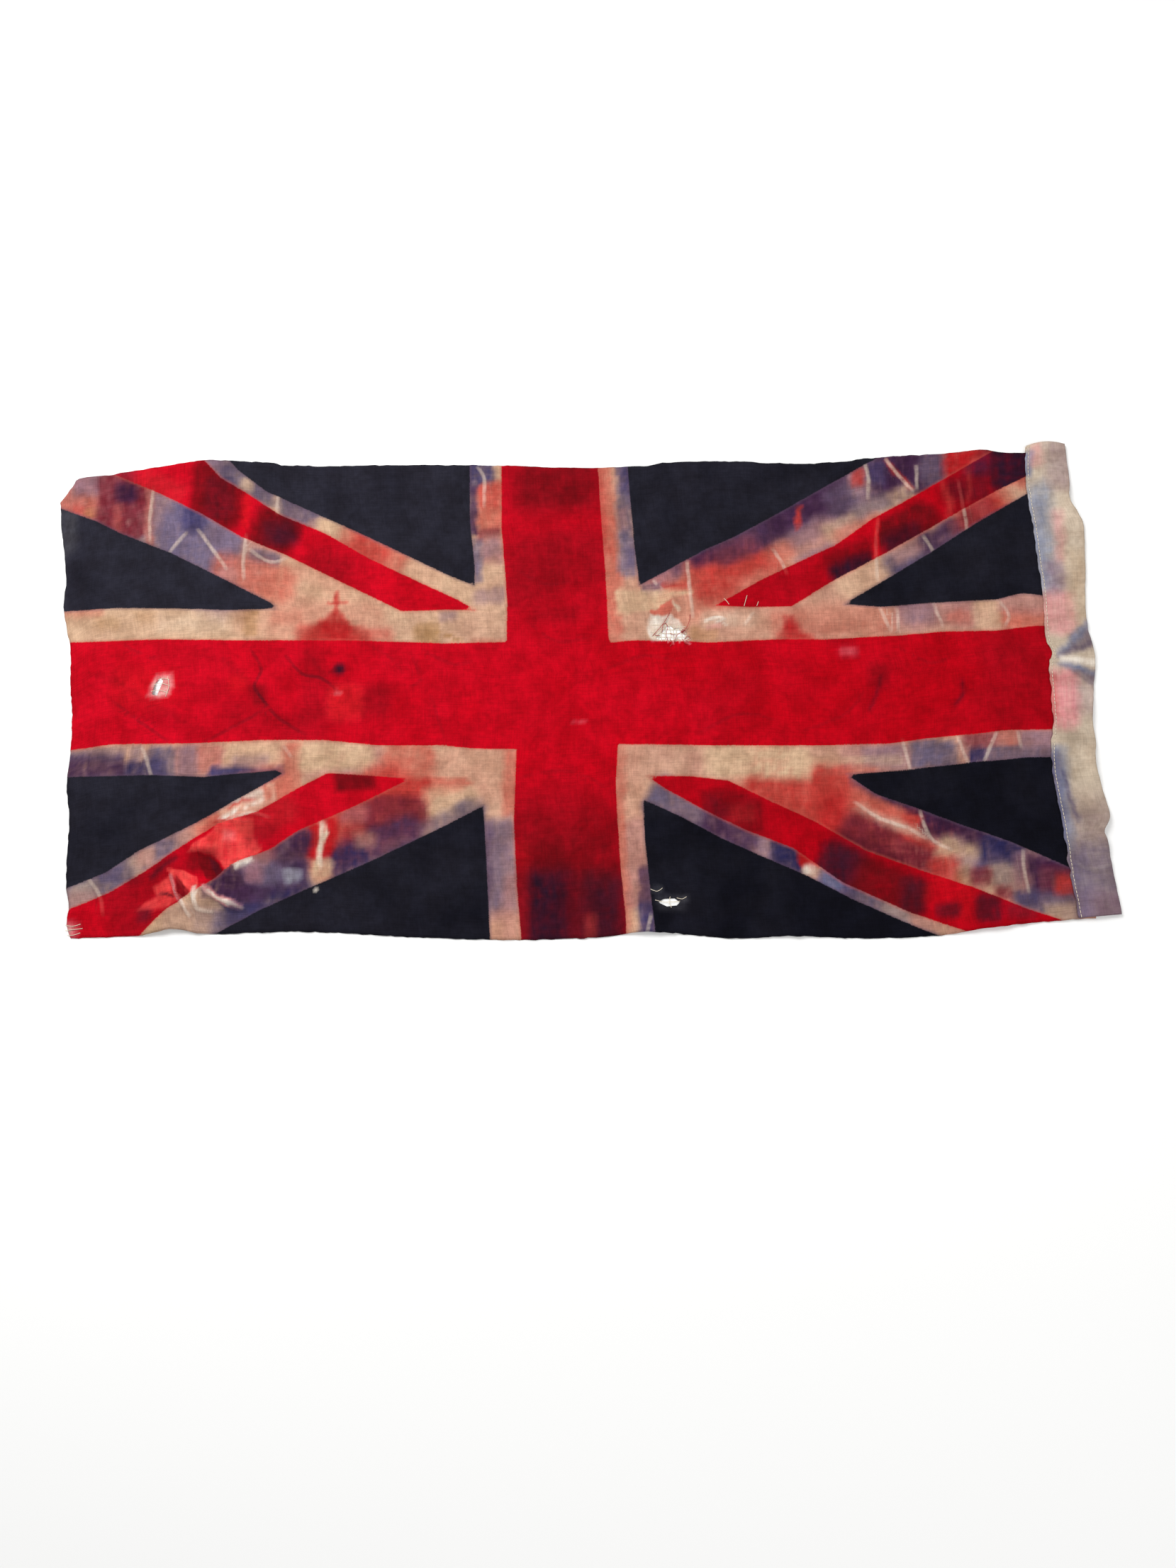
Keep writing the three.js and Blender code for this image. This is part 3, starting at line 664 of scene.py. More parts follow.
    Blot(T.SLATE, (-420, -406), (-74, -60), 0.5, 4), Blot(T.SLATE, (-404, -376), (-94, -60), 0.85, 4),
    Blot(T.BLUE, (-402, -386), (-92, -72), 0.7, 4), Blot(T.ROSE, (-378, -332), (-92, -58), 0.75, 3),
    Blot(T.MAUVE, (-374, -356), (-92, -60), 0.6, 4), Blot(T.SALMON, (-356, -334), (-86, -58), 0.45, 2.5),
    Blot(T.CREAM, (-330, -280), (-76, -57), 0.6, 4), Blot(T.BLUE, (-346, -274), (-92, -80), 0.9, 2.5),
    Blot(T.MAUVE, (-324, -290), (-80, -70), 0.45, 4),
    Blot(T.SALMON, (-276, -258), (-108, -56), 0.65, 2.5), Blot(T.ROSE, (-258, -180), (-90, -58), 0.5, 6),
    Blot(T.PEACH, (-252, -200), (-82, -60), 0.5, 6), Blot(T.MAUVE, (-222, -182), (-92, -80), 0.5, 4),
    Blot(T.CREAM, (-262, -192), (-84, -57), 0.95, 5), Blot(T.SALMON, (-184, -134), (-116, -58), 0.8, 5),
    Blot(T.PEACH, (-136, -58), (-112, -60), 0.4, 8), Blot(T.SALMON, (-70, -56), (-128, -62), 0.75, 4),
    # lower fly quarter: narrow band
    Blot(T.SLATE, (-480, -404), (-222, -168), 0.8, 8, 25),
    Blot(T.PALE, (-468, -446), (-212, -186), 0.4, 6), Blot(T.ROSE, (-470, -440), (-224, -196), 0.5, 6),
    Blot(T.BLUE, (-444, -420), (-190, -172), 0.5, 5),
    Blot(T.MAUVE, (-414, -350), (-174, -128), 0.7, 6, 27),
    Blot(T.SLATE, (-392, -374), (-164, -148), 0.75, 4), Blot(T.PEACH, (-408, -390), (-172, -156), 0.5, 4),
    Blot(T.SALMON, (-364, -262), (-152, -92), 0.8, 7, 27),
    Blot(T.PEACH, (-372, -344), (-154, -132), 0.5, 6),
    # The PALE blot and the GLOW blots and streaks below are painted highlight on the ridges of the crumple.
    Blot(T.PALE, (-334, -290), (-130, -104), 0.5, 5, 27),
    Blot(T.GLOW, (-312, -294), (-113, -102), 0.5, 3, 20),
    Blot(T.GLOW, (-328, -314), (-130, -122), 0.4, 3, 20),
    Streak(T.GLOW, ((-334, -131), (-322, -125), (-312, -120)), 2.5, 0.9, 1.2),
    Streak(T.GLOW, ((-318, -113), (-306, -109), (-296, -103)), 3, 0.9, 1.2),
    Streak(T.CORAL, ((-326, -119), (-312, -114), (-300, -108)), 2.5, 0.8, 1.2),
    Streak(T.GLOW, ((-309, -121), (-298, -114), (-290, -112)), 2.5, 0.9, 1.2),
    Streak(T.CORAL, ((-340, -134), (-326, -130), (-312, -124)), 2.5, 0.7, 1.2),
    Streak(T.PALE, ((-288, -96), (-284, -108), (-284, -116)), 4, 0.9, 1.2),
    Blot(T.CORAL, (-352, -326), (-150, -132), 0.5, 5, 27),
    Blot(T.SALMON, (-288, -262), (-112, -92), 0.5, 5, 27),
    # lower fly quarter: wide band
    Blot(T.SALMON, (-268, -140), (-170, -88), 0.9, 8, 25),
    Blot(T.CORAL, (-262, -150), (-158, -96), 0.75, 8, 25),
    Blot(T.MAROON, (-250, -180), (-168, -140), 0.5, 8, 25),
    Blot(T.CORAL, (-198, -136), (-116, -90), 0.85, 4),
    Patch(T.SALMON, ((-138, -90), (-104, -91), (-98, -95), (-110, -104), (-138, -110)), 0.85, 2),
    Blot(T.CREAM, (-146, -92), (-128, -100), 0.65, 6), Blot(T.SLATE, (-112, -86), (-130, -112), 0.6, 5),
    Blot(T.MAROON, (-198, -141), (-146, -107), 0.85, 5),
    Blot(T.PURPLE, (-196, -144), (-166, -130), 0.8, 6, 20),
    Blot(T.SLATE, (-150, -100), (-138, -122), 0.6, 5, 25),
    Blot(T.MAUVE, (-222, -196), (-134, -114), 0.4, 6),
    Blot(T.DEEP_BLUE, (-230, -190), (-186, -150), 0.8, 7, 20),
    Blot(T.PEACH, (-208, -188), (-156, -142), 0.55, 5),
    Blot(T.RED, (-251, -226), (-168, -126), 0.92, 3.5),
    Blot(T.PURPLE, (-290, -249), (-178, -134), 0.85, 6),
    Blot(T.PLUM, (-270, -250), (-164, -144), 0.55, 5), Blot(T.MAUVE, (-312, -284), (-176, -150), 0.6, 6),
    Blot(T.MAROON, (-300, -280), (-168, -150), 0.5, 6),
    Blot(T.DEEP_BLUE, (-330, -244), (-226, -182), 0.85, 8, 24),
    Blot(T.PURPLE, (-346, -284), (-206, -172), 0.85, 6, -8),
    Blot(T.PLUM, (-334, -300), (-202, -180), 0.6, 5, -14),
    Blot(T.PURPLE, (-300, -250), (-196, -168), 0.6, 6), Blot(T.SLATE, (-296, -262), (-190, -172), 0.6, 5),
    Patch(T.DOVE, ((-276, -176), (-268, -174), (-256, -177), (-257, -188), (-270, -190)), 0.6, 2),
    Blot(T.LILAC, (-310, -276), (-190, -166), 0.5, 5), Blot(T.ROSE, (-304, -284), (-172, -156), 0.5, 4),
    # The SHELL and GLOW marks on the next seven lines are painted highlight: the bright ridges and fold
    # edges of the crumple.
    Blot(T.SHELL, (-308, -290), (-188, -172), 0.4, 4),
    Streak(T.GLOW, ((-318, -174), (-309, -168), (-300, -165)), 7, 1.0, 2),
    Streak(T.SHELL, ((-346, -190), (-335, -199), (-322, -206), (-306, -211)), 7, 0.95, 1.6),
    Streak(T.GLOW, ((-340, -196), (-328, -203), (-311, -210)), 3, 0.95, 1.2),
    Streak(T.SHELL, ((-372, -184), (-364, -206), (-354, -223)), 5, 0.95, 1),
    Streak(T.GLOW, ((-370, -192), (-363, -206), (-355, -219)), 4, 0.95, 1),
    Streak(T.GLOW, ((-353, -191), (-349, -207), (-346, -213), (-332, -215)), 4.5, 1.0, 1),
    Blot(T.CREAM, (-394, -326), (-240, -206), 0.85, 5),
    Blot(T.MAUVE, (-384, -324), (-244, -208), 0.38, 8), Blot(T.TAN, (-388, -352), (-234, -212), 0.25, 6),
    Blot(T.SLATE, (-336, -300), (-240, -214), 0.8, 5), Blot(T.BLUE, (-322, -290), (-226, -208), 0.6, 5),
    Blot(T.CREAM, (-247, -226), (-184, -166), 0.8, 3.5),
    Streak(T.PALE, ((-238, -130), (-238, -174)), 7, 0.95, 2),
    # lower fly quarter: upright band
    Blot(T.MAUVE, (-92, -54), (-222, -128), 0.8, 6), Blot(T.SLATE, (-90, -68), (-214, -130), 0.5, 5),
    Blot(T.PURPLE, (-90, -80), (-206, -134), 0.3, 4), Blot(T.ROSE, (-70, -56), (-240, -180), 0.6, 5),
    Blot(T.PEACH, (-84, -52), (-248, -214), 0.55, 5),
    # lower hoist quarter: upright band and narrow band
    Blot(T.PEACH, (34, 60), (-240, -60), 0.35, 6),
    Streak(T.SALMON, ((40, -60), (38, -120), (42, -180), (48, -240)), 10, 0.75, 3),
    Blot(T.ROSE, (44, 62), (-212, -130), 0.6, 5), Blot(T.PURPLE, (55, 70), (-244, -172), 0.8, 4),
    Blot(T.BLUE, (54, 72), (-240, -206), 0.75, 4), Blot(T.CREAM, (46, 56), (-242, -212), 0.6, 4),
    Blot(T.SLATE, (62, 124), (-138, -96), 0.9, 6, -25), Blot(T.MAUVE, (84, 120), (-134, -112), 0.4, 6),
    Blot(T.LILAC, (66, 84), (-112, -98), 0.6, 4), Blot(T.PURPLE, (112, 170), (-156, -124), 0.85, 6, -26),
    Blot(T.PLUM, (116, 150), (-148, -130), 0.4, 5, -26), Blot(T.MAUVE, (164, 190), (-170, -142), 0.8, 5),
    Blot(T.DEEP_BLUE, (178, 208), (-184, -142), 0.9, 5), Blot(T.RED, (203, 224), (-174, -138), 0.95, 3),
    Blot(T.BLUE, (220, 262), (-206, -172), 0.85, 6, -24), Blot(T.SKY, (224, 242), (-196, -178), 0.5, 4),
    Blot(T.SLATE, (250, 330), (-238, -192), 0.85, 8, -24),
    Blot(T.SALMON, (304, 330), (-234, -214), 0.5, 5),
    Blot(T.CREAM, (276, 340), (-232, -208), 0.35, 6, -24), Blot(T.GLOW, (208, 218), (-181, -171), 0.8, 3),
    # lower hoist quarter: wide band
    Blot(T.CREAM, (116, 216), (-90, -60), 0.5, 5), Blot(T.SALMON, (140, 320), (-160, -86), 0.95, 10, -24),
    Blot(T.PEACH, (146, 212), (-96, -72), 0.6, 6), Blot(T.CORAL, (150, 300), (-150, -92), 0.8, 8, -24),
    Blot(T.CORAL, (216, 258), (-152, -74), 0.7, 6), Blot(T.RED, (224, 262), (-150, -108), 0.5, 7),
    Blot(T.SALMON, (250, 310), (-140, -84), 0.6, 7, -24),
    Blot(T.CREAM, (122, 214), (-90, -60), 0.93, 6, -3), Blot(T.CREAM, (202, 218), (-94, -66), 0.75, 3.5),
    Blot(T.MAROON, (236, 340), (-186, -136), 0.9, 8, -24),
    Blot(T.WINE, (238, 300), (-180, -152), 0.6, 7, -24),
    Blot(T.CORAL, (298, 350), (-156, -122), 0.85, 6, -20),
    Streak(T.PLUM, ((252, -94), (284, -109), (310, -121), (352, -136), (404, -156)), 8, 0.85, 4),
    Streak(T.PALE, ((258, -114), (280, -129), (304, -138), (330, -150), (350, -158)), 8, 0.6, 5),
    Blot(T.PLUM, (318, 376), (-156, -122), 0.85, 5, -24),
    Blot(T.DEEP_BLUE, (366, 414), (-190, -144), 0.9, 7, -22),
    Blot(T.CREAM, (330, 368), (-174, -148), 0.75, 5, -24),
    Blot(T.MAUVE, (344, 374), (-182, -164), 0.5, 5), Blot(T.CORAL, (322, 352), (-196, -164), 0.75, 5),
    Blot(T.TAN, (347, 363), (-193, -174), 0.4, 4), Blot(T.CREAM, (372, 404), (-202, -170), 0.6, 5),
    Blot(T.ROSE, (400, 420), (-210, -160), 0.5, 5), Blot(T.PLUM, (413, 462), (-204, -160), 0.9, 6),
    Blot(T.MAROON, (424, 462), (-196, -172), 0.45, 6), Blot(T.MAROON, (360, 380), (-192, -174), 0.75, 4),
    Blot(T.MAROON, (383, 399), (-205, -190), 0.75, 4), Blot(T.SLATE, (398, 462), (-224, -196), 0.75, 6),
    Blot(T.CREAM, (428, 456), (-226, -208), 0.6, 4), Blot(T.BLUE, (400, 424), (-210, -194), 0.6, 4),
    Blot(T.CORAL, (438, 462), (-200, -180), 0.8, 4),
    # lower hoist quarter: strip along the cross
    Blot(T.ROSE, (244, 310), (-84, -56), 0.6, 5), Blot(T.MAUVE, (264, 306), (-80, -60), 0.7, 4),
    Blot(T.CREAM, (210, 304), (-78, -70), 0.5, 3), Blot(T.SLATE, (309, 354), (-82, -54), 0.85, 4),
    Blot(T.LILAC, (312, 340), (-80, -62), 0.5, 4), Blot(T.ROSE, (358, 450), (-78, -44), 0.75, 4),
    Blot(T.DEEP_BLUE, (364, 380), (-80, -60), 0.85, 3), Blot(T.MAROON, (361, 391), (-61, -44), 0.6, 4),
    Blot(T.SLATE, (380, 450), (-76, -60), 0.8, 3), Blot(T.SALMON, (392, 412), (-60, -44), 0.5, 4),
    Blot(T.MAUVE, (412, 450), (-62, -44), 0.6, 4), Blot(T.SALMON, (248, 276), (-88, -79), 0.5, 3),
)
# On the red.
ON_RED = (
    # whole areas darkened: towards the hoist and over the lower hoist arm this is painted shade of the
    # light from the upper fly corner; the upright's top and foot are darker too
    Blot(T.OXBLOOD, (240, 520), (-80, 80), 0.06, 90), Blot(T.OXBLOOD, (-90, 50), (50, 260), 0.14, 40),
    Blot(T.OXBLOOD, (-80, 60), (-280, -110), 0.55, 34), Blot(T.OXBLOOD, (40, 460), (-260, -80), 0.15, 20),
    # middle cross
    Blot(T.OXBLOOD, (-62, 20), (170, 222), 0.7, 14), Blot(T.OXBLOOD, (-70, -16), (74, 144), 0.3, 12),
    Blot(T.OXBLOOD, (-30, 26), (96, 150), 0.3, 12), Blot(T.OXBLOOD, (-46, -2), (60, 72), 0.35, 8),
    Blot(T.OXBLOOD, (-54, 40), (-262, -166), 0.6, 14), Blot(T.INK, (-50, -8), (-262, -176), 0.85, 16),
    Blot(T.OXBLOOD, (-46, -10), (-176, -156), 0.35, 8), Blot(T.WINE, (0, 40), (-262, -178), 0.7, 9),
    Blot(T.INK, (8, 38), (-256, -192), 0.45, 12), Blot(T.CORAL, (5, 16), (-250, -216), 0.5, 4),
    Blot(T.OXBLOOD, (-50, 30), (-162, -146), 0.4, 8), Blot(T.BRIGHT, (-56, -46), (-262, -150), 0.35, 5),
    # The OXBLOOD blot on the next line lies in a crease: painted shade.
    Blot(T.BRIGHT, (-440, -380), (-24, 14), 0.5, 14), Blot(T.OXBLOOD, (-306, -294), (-22, -3), 0.6, 5),
    Blot(T.INK, (-231, -221), (8, 18), 0.9, 3), Blot(T.CORAL, (-238, -202), (-37, -1), 0.35, 6),
    Blot(T.BRIGHT, (-236, -204), (-36, -2), 0.5, 5), Blot(T.OXBLOOD, (-202, -178), (-34, -2), 0.4, 7),
    Blot(T.OXBLOOD, (-262, -238), (-40, 34), 0.25, 8),
    # The dark streaks on the next three lines, along the low folds and creases of the middle stripe, are
    # painted shade.
    Streak(T.OXBLOOD, ((-470, 10), (-436, 0), (-398, -24), (-352, -46)), 5, 0.3, 6),
    Streak(T.OXBLOOD, ((-338, 24), (-318, 6), (-304, -12)), 4, 0.4, 4),
    Streak(T.OXBLOOD, ((-262, 32), (-240, 10), (-228, 14)), 3, 0.4, 3),
    Blot(T.BRIGHT, (-330, -312), (-8, 8), 0.5, 5),
    Blot(T.OXBLOOD, (-330, -240), (-50, -30), 0.25, 12, -14),
    # These two dark streaks lie in creases: painted shade.
    Streak(T.WINE, ((285, 8), (280, -12), (272, -28)), 3, 0.5, 3),
    Streak(T.WINE, ((358, 4), (362, -8), (352, -22)), 3, 0.6, 2.5),
    Blot(T.SHELL, (246, 264), (26, 34), 0.45, 4), Blot(T.OXBLOOD, (272, 292), (-6, 18), 0.4, 6),
    Blot(T.OXBLOOD, (236, 262), (36, 46), 0.3, 5), Blot(T.OXBLOOD, (118, 178), (-52, 22), 0.12, 14),
    Blot(T.OXBLOOD, (380, 460), (-50, 60), 0.25, 20),
    Patch(T.GLOW, ((-404, -14), (-394, -16), (-386, -12), (-382, -2), (-384, 8), (-398, 8),
                    (-403, 0)), 0.55, 3),
    Streak(T.SHELL, ((-232, -7), (-224, -12)), 2.5, 0.7),
    Streak(T.SHELL, ((-6, -36.5), (6, -36.5)), 2, 0.9, 1.5), Blot(T.SHELL, (68, 80), (40, 43), 0.6, 1.5),
    Streak(T.SHELL, ((84, 44), (85, 38)), 1.6, 0.9, 0.8),
    Streak(T.SHELL, ((89, 44), (90, 37)), 1.6, 0.9, 0.8),
    Streak(T.SHELL, ((94, 44), (96, 38.5)), 1.6, 0.9, 0.8),
    Streak(T.SHELL, ((98, 44), (106, 37.5)), 1.8, 0.9, 0.8),
    # arm of the upper fly quarter
    Blot(T.MAROON, (-470, -428), (186, 226), 0.6, 7),
    Blot(T.CORAL, (-430, -380), (176, 206), 0.35, 8, -25),
    Blot(T.OXBLOOD, (-374, -324), (150, 224), 0.8, 7), Blot(T.WINE, (-360, -334), (160, 204), 0.4, 7),
    Streak(T.BRIGHT, ((-320, 150), (-320, 188)), 8, 0.7, 3),
    Blot(T.OXBLOOD, (-315, -270), (126, 174), 0.85, 7, -20),
    Blot(T.WINE, (-304, -274), (136, 160), 0.75, 7), Blot(T.INK, (-292, -268), (134, 150), 0.45, 6),
    Blot(T.OXBLOOD, (-262, -216), (98, 130), 0.35, 9, -25),
    # arm of the upper hoist quarter
    Blot(T.OXBLOOD, (150, 262), (78, 130), 0.22, 14, 27),
    Blot(T.OXBLOOD, (236, 290), (98, 136), 0.6, 7, 28), Blot(T.INK, (240, 284), (98, 122), 0.85, 6, 24),
    Blot(T.OXBLOOD, (286, 352), (122, 172), 0.9, 7, 28), Blot(T.INK, (292, 332), (124, 152), 0.6, 7, 28),
    Blot(T.OXBLOOD, (350, 420), (160, 212), 0.6, 8, 24), Blot(T.WINE, (356, 396), (180, 202), 0.45, 7),
    Blot(T.INK, (398, 445), (186, 240), 0.92, 7), Blot(T.PLUM, (372, 398), (204, 236), 0.6, 6),
    Streak(T.BRIGHT, ((285, 98), (284, 130), (287, 164)), 5, 0.9, 2),
    Streak(T.CORAL, ((350, 200), (357, 176), (354, 160)), 6, 0.7, 3),
    Streak(T.CORAL, ((372, 224), (377, 200), (374, 176)), 4, 0.5, 2.5),
    # arm of the lower fly quarter, with the crumple, whose light and shade are largely painted
    # down to the last WINE streak: the lit red, SHELL and GLOW marks are painted light and highlight on the
    # flaps and ridges, the OXBLOOD and WINE marks painted shade in the folds
    Blot(T.OXBLOOD, (-440, -360), (-230, -164), 0.35, 12, 27),
    Blot(T.CORAL, (-310, -262), (-140, -106), 0.35, 9, 28),
    Patch(T.PAINTED_LIT_RED, ((-346, -146), (-334, -132), (-314, -126), (-302, -130), (-300, -146), (-292, -158),
                     (-297, -162), (-316, -172), (-325, -178), (-329, -169), (-337, -162),
                     (-350, -159), (-362, -161), (-356, -152)), 0.85, 1.2),
    Blot(T.OXBLOOD, (-308, -278), (-154, -134), 0.42, 7),
    Blot(T.CORAL, (-318, -304), (-146, -132), 0.5, 4), Blot(T.SHELL, (-330, -318), (-150, -140), 0.35, 4),
    Blot(T.RED, (-344, -334), (-152, -142), 0.4, 3), Blot(T.OXBLOOD, (-362, -330), (-178, -158), 0.6, 5),
    Patch(T.OXBLOOD, ((-350, -161), (-338, -163), (-331, -170), (-326, -179), (-330, -190),
                       (-344, -184), (-349, -172)), 0.8, 1.2),
    Patch(T.WINE, ((-340, -164), (-332, -170), (-327, -179), (-330, -186), (-337, -176)), 0.7, 1.5),
    Patch(T.PAINTED_LIT_RED, ((-380, -174), (-366, -177), (-352, -183), (-347, -199), (-353, -203),
                     (-366, -190)), 0.9, 1),
    Patch(T.PAINTED_LIT_RED, ((-392, -192), (-375, -181), (-367, -203), (-382, -213), (-405, -213), (-398, -207),
                     (-388, -201)), 0.75, 2),
    Patch(T.OXBLOOD, ((-370, -182), (-355, -197), (-362, -206), (-367, -199)), 0.75, 1),
    Streak(T.WINE, ((-396, -186), (-385, -174), (-370, -164)), 5, 0.6, 4),
    Blot(T.WINE, (-404, -392), (-224, -212), 0.6, 4), Blot(T.WINE, (-418, -404), (-190, -176), 0.3, 6),
    Streak(T.SHELL, ((-375, -180), (-371, -192), (-366, -204)), 3.5, 0.9, 1),
    Streak(T.GLOW, ((-353, -191), (-349, -207), (-346, -213)), 4, 1.0, 1),
    Streak(T.SHELL, ((-346, -190), (-335, -199), (-322, -206)), 3.5, 0.9, 1),
    Streak(T.WINE, ((-388, -199), (-380, -198), (-371, -201)), 1.6, 0.8, 0.8),
    Patch(T.OXBLOOD, ((-228, -84), (-190, -86), (-188, -100), (-226, -104)), 0.8, 3.5),
    Blot(T.SHELL, (-482, -458), (-240, -224), 0.6, 4), Blot(T.GLOW, (-480, -464), (-236, -228), 0.5, 3),
    # arm of the lower hoist quarter
    Patch(T.OXBLOOD, ((112, -104), (140, -100), (170, -112), (170, -146), (140, -142),
                       (116, -124)), 0.6, 3),
    Blot(T.WINE, (118, 140), (-128, -112), 0.35, 6, -24), Blot(T.CORAL, (140, 164), (-132, -116), 0.3, 6),
    Blot(T.WINE, (220, 266), (-194, -152), 0.9, 7, -24),
    Blot(T.INK, (228, 262), (-188, -160), 0.5, 7, -24),
    Blot(T.OXBLOOD, (250, 322), (-218, -172), 0.85, 8, -24),
    Blot(T.WINE, (296, 318), (-216, -184), 0.8, 6), Blot(T.BRIGHT, (318, 366), (-218, -184), 0.4, 6, -24),
    Blot(T.WINE, (364, 388), (-224, -198), 0.8, 5), Blot(T.WINE, (328, 350), (-220, -207), 0.7, 4),
    Blot(T.MAROON, (392, 420), (-222, -206), 0.5, 6),
)
# On the navy.
ON_NAVY = (
    Blot(T.GREY, (-505, -482), (126, 170), 0.5, 6), Blot(T.GREY, (-500, -488), (70, 130), 0.25, 5),
    Blot(T.GREY, (66, 78), (-198, -191), 0.4, 2.5), Blot(T.GREY, (92, 101), (-205, -199), 0.45, 2.5),
    Blot(T.GREY, (70, 98), (-214, -199), 0.35, 4), Blot(T.GLOW, (-243.5, -239.5), (-196, -192), 0.8, 1.5),
)


# ---- Holes ---------------------------------------------------------------------------------------
@dataclass(frozen=True)
class Hole:
    """A place where the cloth is worn or torn through."""

    outline: Points

    def middle(self) -> np.ndarray:
        """Gives the middle of its outline."""
        return np.mean(self.outline, axis=0)

    def reach(self) -> float:
        """Gives the distance from its middle to its furthest corner."""
        return float(np.max(np.hypot(*(np.array(self.outline) - self.middle()).T)))


TEAR = Hole(((73, 43), (76, 48), (80, 51), (83, 55), (87, 55), (90, 52), (94, 53), (97, 49), (101, 46),
             (101, 43), (97, 41.5), (93, 43), (88, 41), (82, 42), (77, 41.5)))
WORN_SPOT = Hole(((-401, -12), (-396, -13), (-394, -6), (-392, 2), (-395, 5), (-399, -1)))
FINE_PLACES = (  # x, y, how far round, and how many times the grid is halved there
    (86, 56, 30, 2), (-346, -176, 56, 1), (-344, -188, 32, 2), (-396, -4, 14, 2), (83, -205, 18, 2),
    (-231, 74, 24, 1), (-90, 196, 26, 1),
    (-370, 140, 50, 1), (310, 200, 40, 1), (130, 60, 26, 1), (-238, -152, 30, 1), (310, -136, 46, 1),
    (214, -164, 24, 1),
)
NAVY_HOLE = Hole(((73, -206), (78, -203), (88, -202.5), (93, -206), (90, -209), (81, -210)))


# ---- Meshes ---------------------------------------------------------------------------------------
def flat_grid(columns: int, rows: int) -> bmesh.types.BMesh:
    """Makes a flat grid of quads from 0 to 1 both ways."""
    bm = bmesh.new()
    bmesh.ops.create_grid(bm, x_segments=columns, y_segments=rows, size=0.5)
    bmesh.ops.translate(bm, verts=bm.verts, vec=(0.5, 0.5, 0))
    return bm


def shares_of(bm: bmesh.types.BMesh) -> np.ndarray:
    """Gives each vertex's place on the flat grid, one row of two shares each."""
    return np.array([vertex.co[:2] for vertex in bm.verts])


def dyed(spots: np.ndarray, ground: np.ndarray, marks: tuple, warp: np.ndarray) -> np.ndarray:
    """Lays the marks over the cloth's ground colour, one after another: dyes, and in places painted light
    and shade.

    Args:
        spots: rows of x and y in millimetres.
        ground: rows of linear red, green and blue.
        marks: the blots, streaks and patches.
        warp: how far each spot looks aside, which makes the rims wander.
    Returns:
        Rows of linear red, green and blue.
    """
    grain = 1 + 0.2 * cloud(spots, 7, 19.0, 3) + 0.22 * cloud(spots * [1, 0.12], 3.4, 23.0, 2)
    grain += 0.12 * cloud(spots * [0.12, 1], 3.4, 29.0, 2)
    looked = spots + warp
    shade = np.sqrt(ground)  # dye densities mix more evenly in the root of the light
    for mark in marks:
        share = np.clip(mark.strength(looked) * grain, 0, 1)[:, None]
        shade += share * (np.sqrt(linear(mark.tone.value)[:3]) - shade)
    return shade ** 2


def blend(first: str, second: str, share: np.ndarray) -> np.ndarray:
    """Mixes two hex colours by a share for each spot, as rows of linear colour."""
    t = np.clip(share, 0, 1)[:, None]
    return (1 - t) * np.array(linear(first)[:3]) + t * np.array(linear(second)[:3])


def wander(spots: np.ndarray, seed: float) -> np.ndarray:
    """Gives a random sideways look at each spot, coarse and fine, in millimetres."""
    parts = [2.6 * cloud(spots, 22, seed + i) + 1.2 * cloud(spots, 6, seed + 7 + i, 2) for i in (0, 1)]
    return np.column_stack(parts)


def finish_mesh(name: str, bm: bmesh.types.BMesh, material: bpy.types.Material) -> bpy.types.Object:
    """Turns a bmesh into a smooth-shaded object in the scene.

    Args:
        name: the object's name.
        bm: its mesh, which is freed.
        material: its finish.
    Returns:
        The object, at the origin.
    """
    mesh = bpy.data.meshes.new(name)
    bm.to_mesh(mesh)
    bm.free()
    mesh.polygons.foreach_set("use_smooth", [True] * len(mesh.polygons))
    mesh.materials.append(material)
    made = bpy.data.objects.new(name, mesh)
    bpy.context.scene.collection.objects.link(made)
    return made


def paint(made: bpy.types.Object, fields: dict[str, np.ndarray], cloth_mm: np.ndarray) -> None:
    """Stores the dye strengths and colours, with painted light and shade in places, and the weave's own
    coordinates on a piece.

    Args:
        made: the piece.
        fields: for each attribute's name, one row of three numbers a vertex.
        cloth_mm: each vertex's place on the cut cloth, in millimetres.
    """
    mesh = made.data
    for name, rows in fields.items():
        layer = mesh.attributes.new(name, "FLOAT_VECTOR", "POINT")
        layer.data.foreach_set("vector", rows.astype(np.float32).ravel())
    corners = np.empty(len(mesh.loops), np.int32)
    mesh.loops.foreach_get("vertex_index", corners)
    layer = mesh.uv_layers.new(name="cloth")
    layer.data.foreach_set("uv", (cloth_mm[corners] * MM).astype(np.float32).ravel())


def thicken(made: bpy.types.Object, thickness_mm: float) -> None:
    """Gives a sheet its thickness, half on each side."""
    solid = made.modifiers.new("thickness", "SOLIDIFY")
    solid.thickness = thickness_mm * MM
    solid.offset = 0


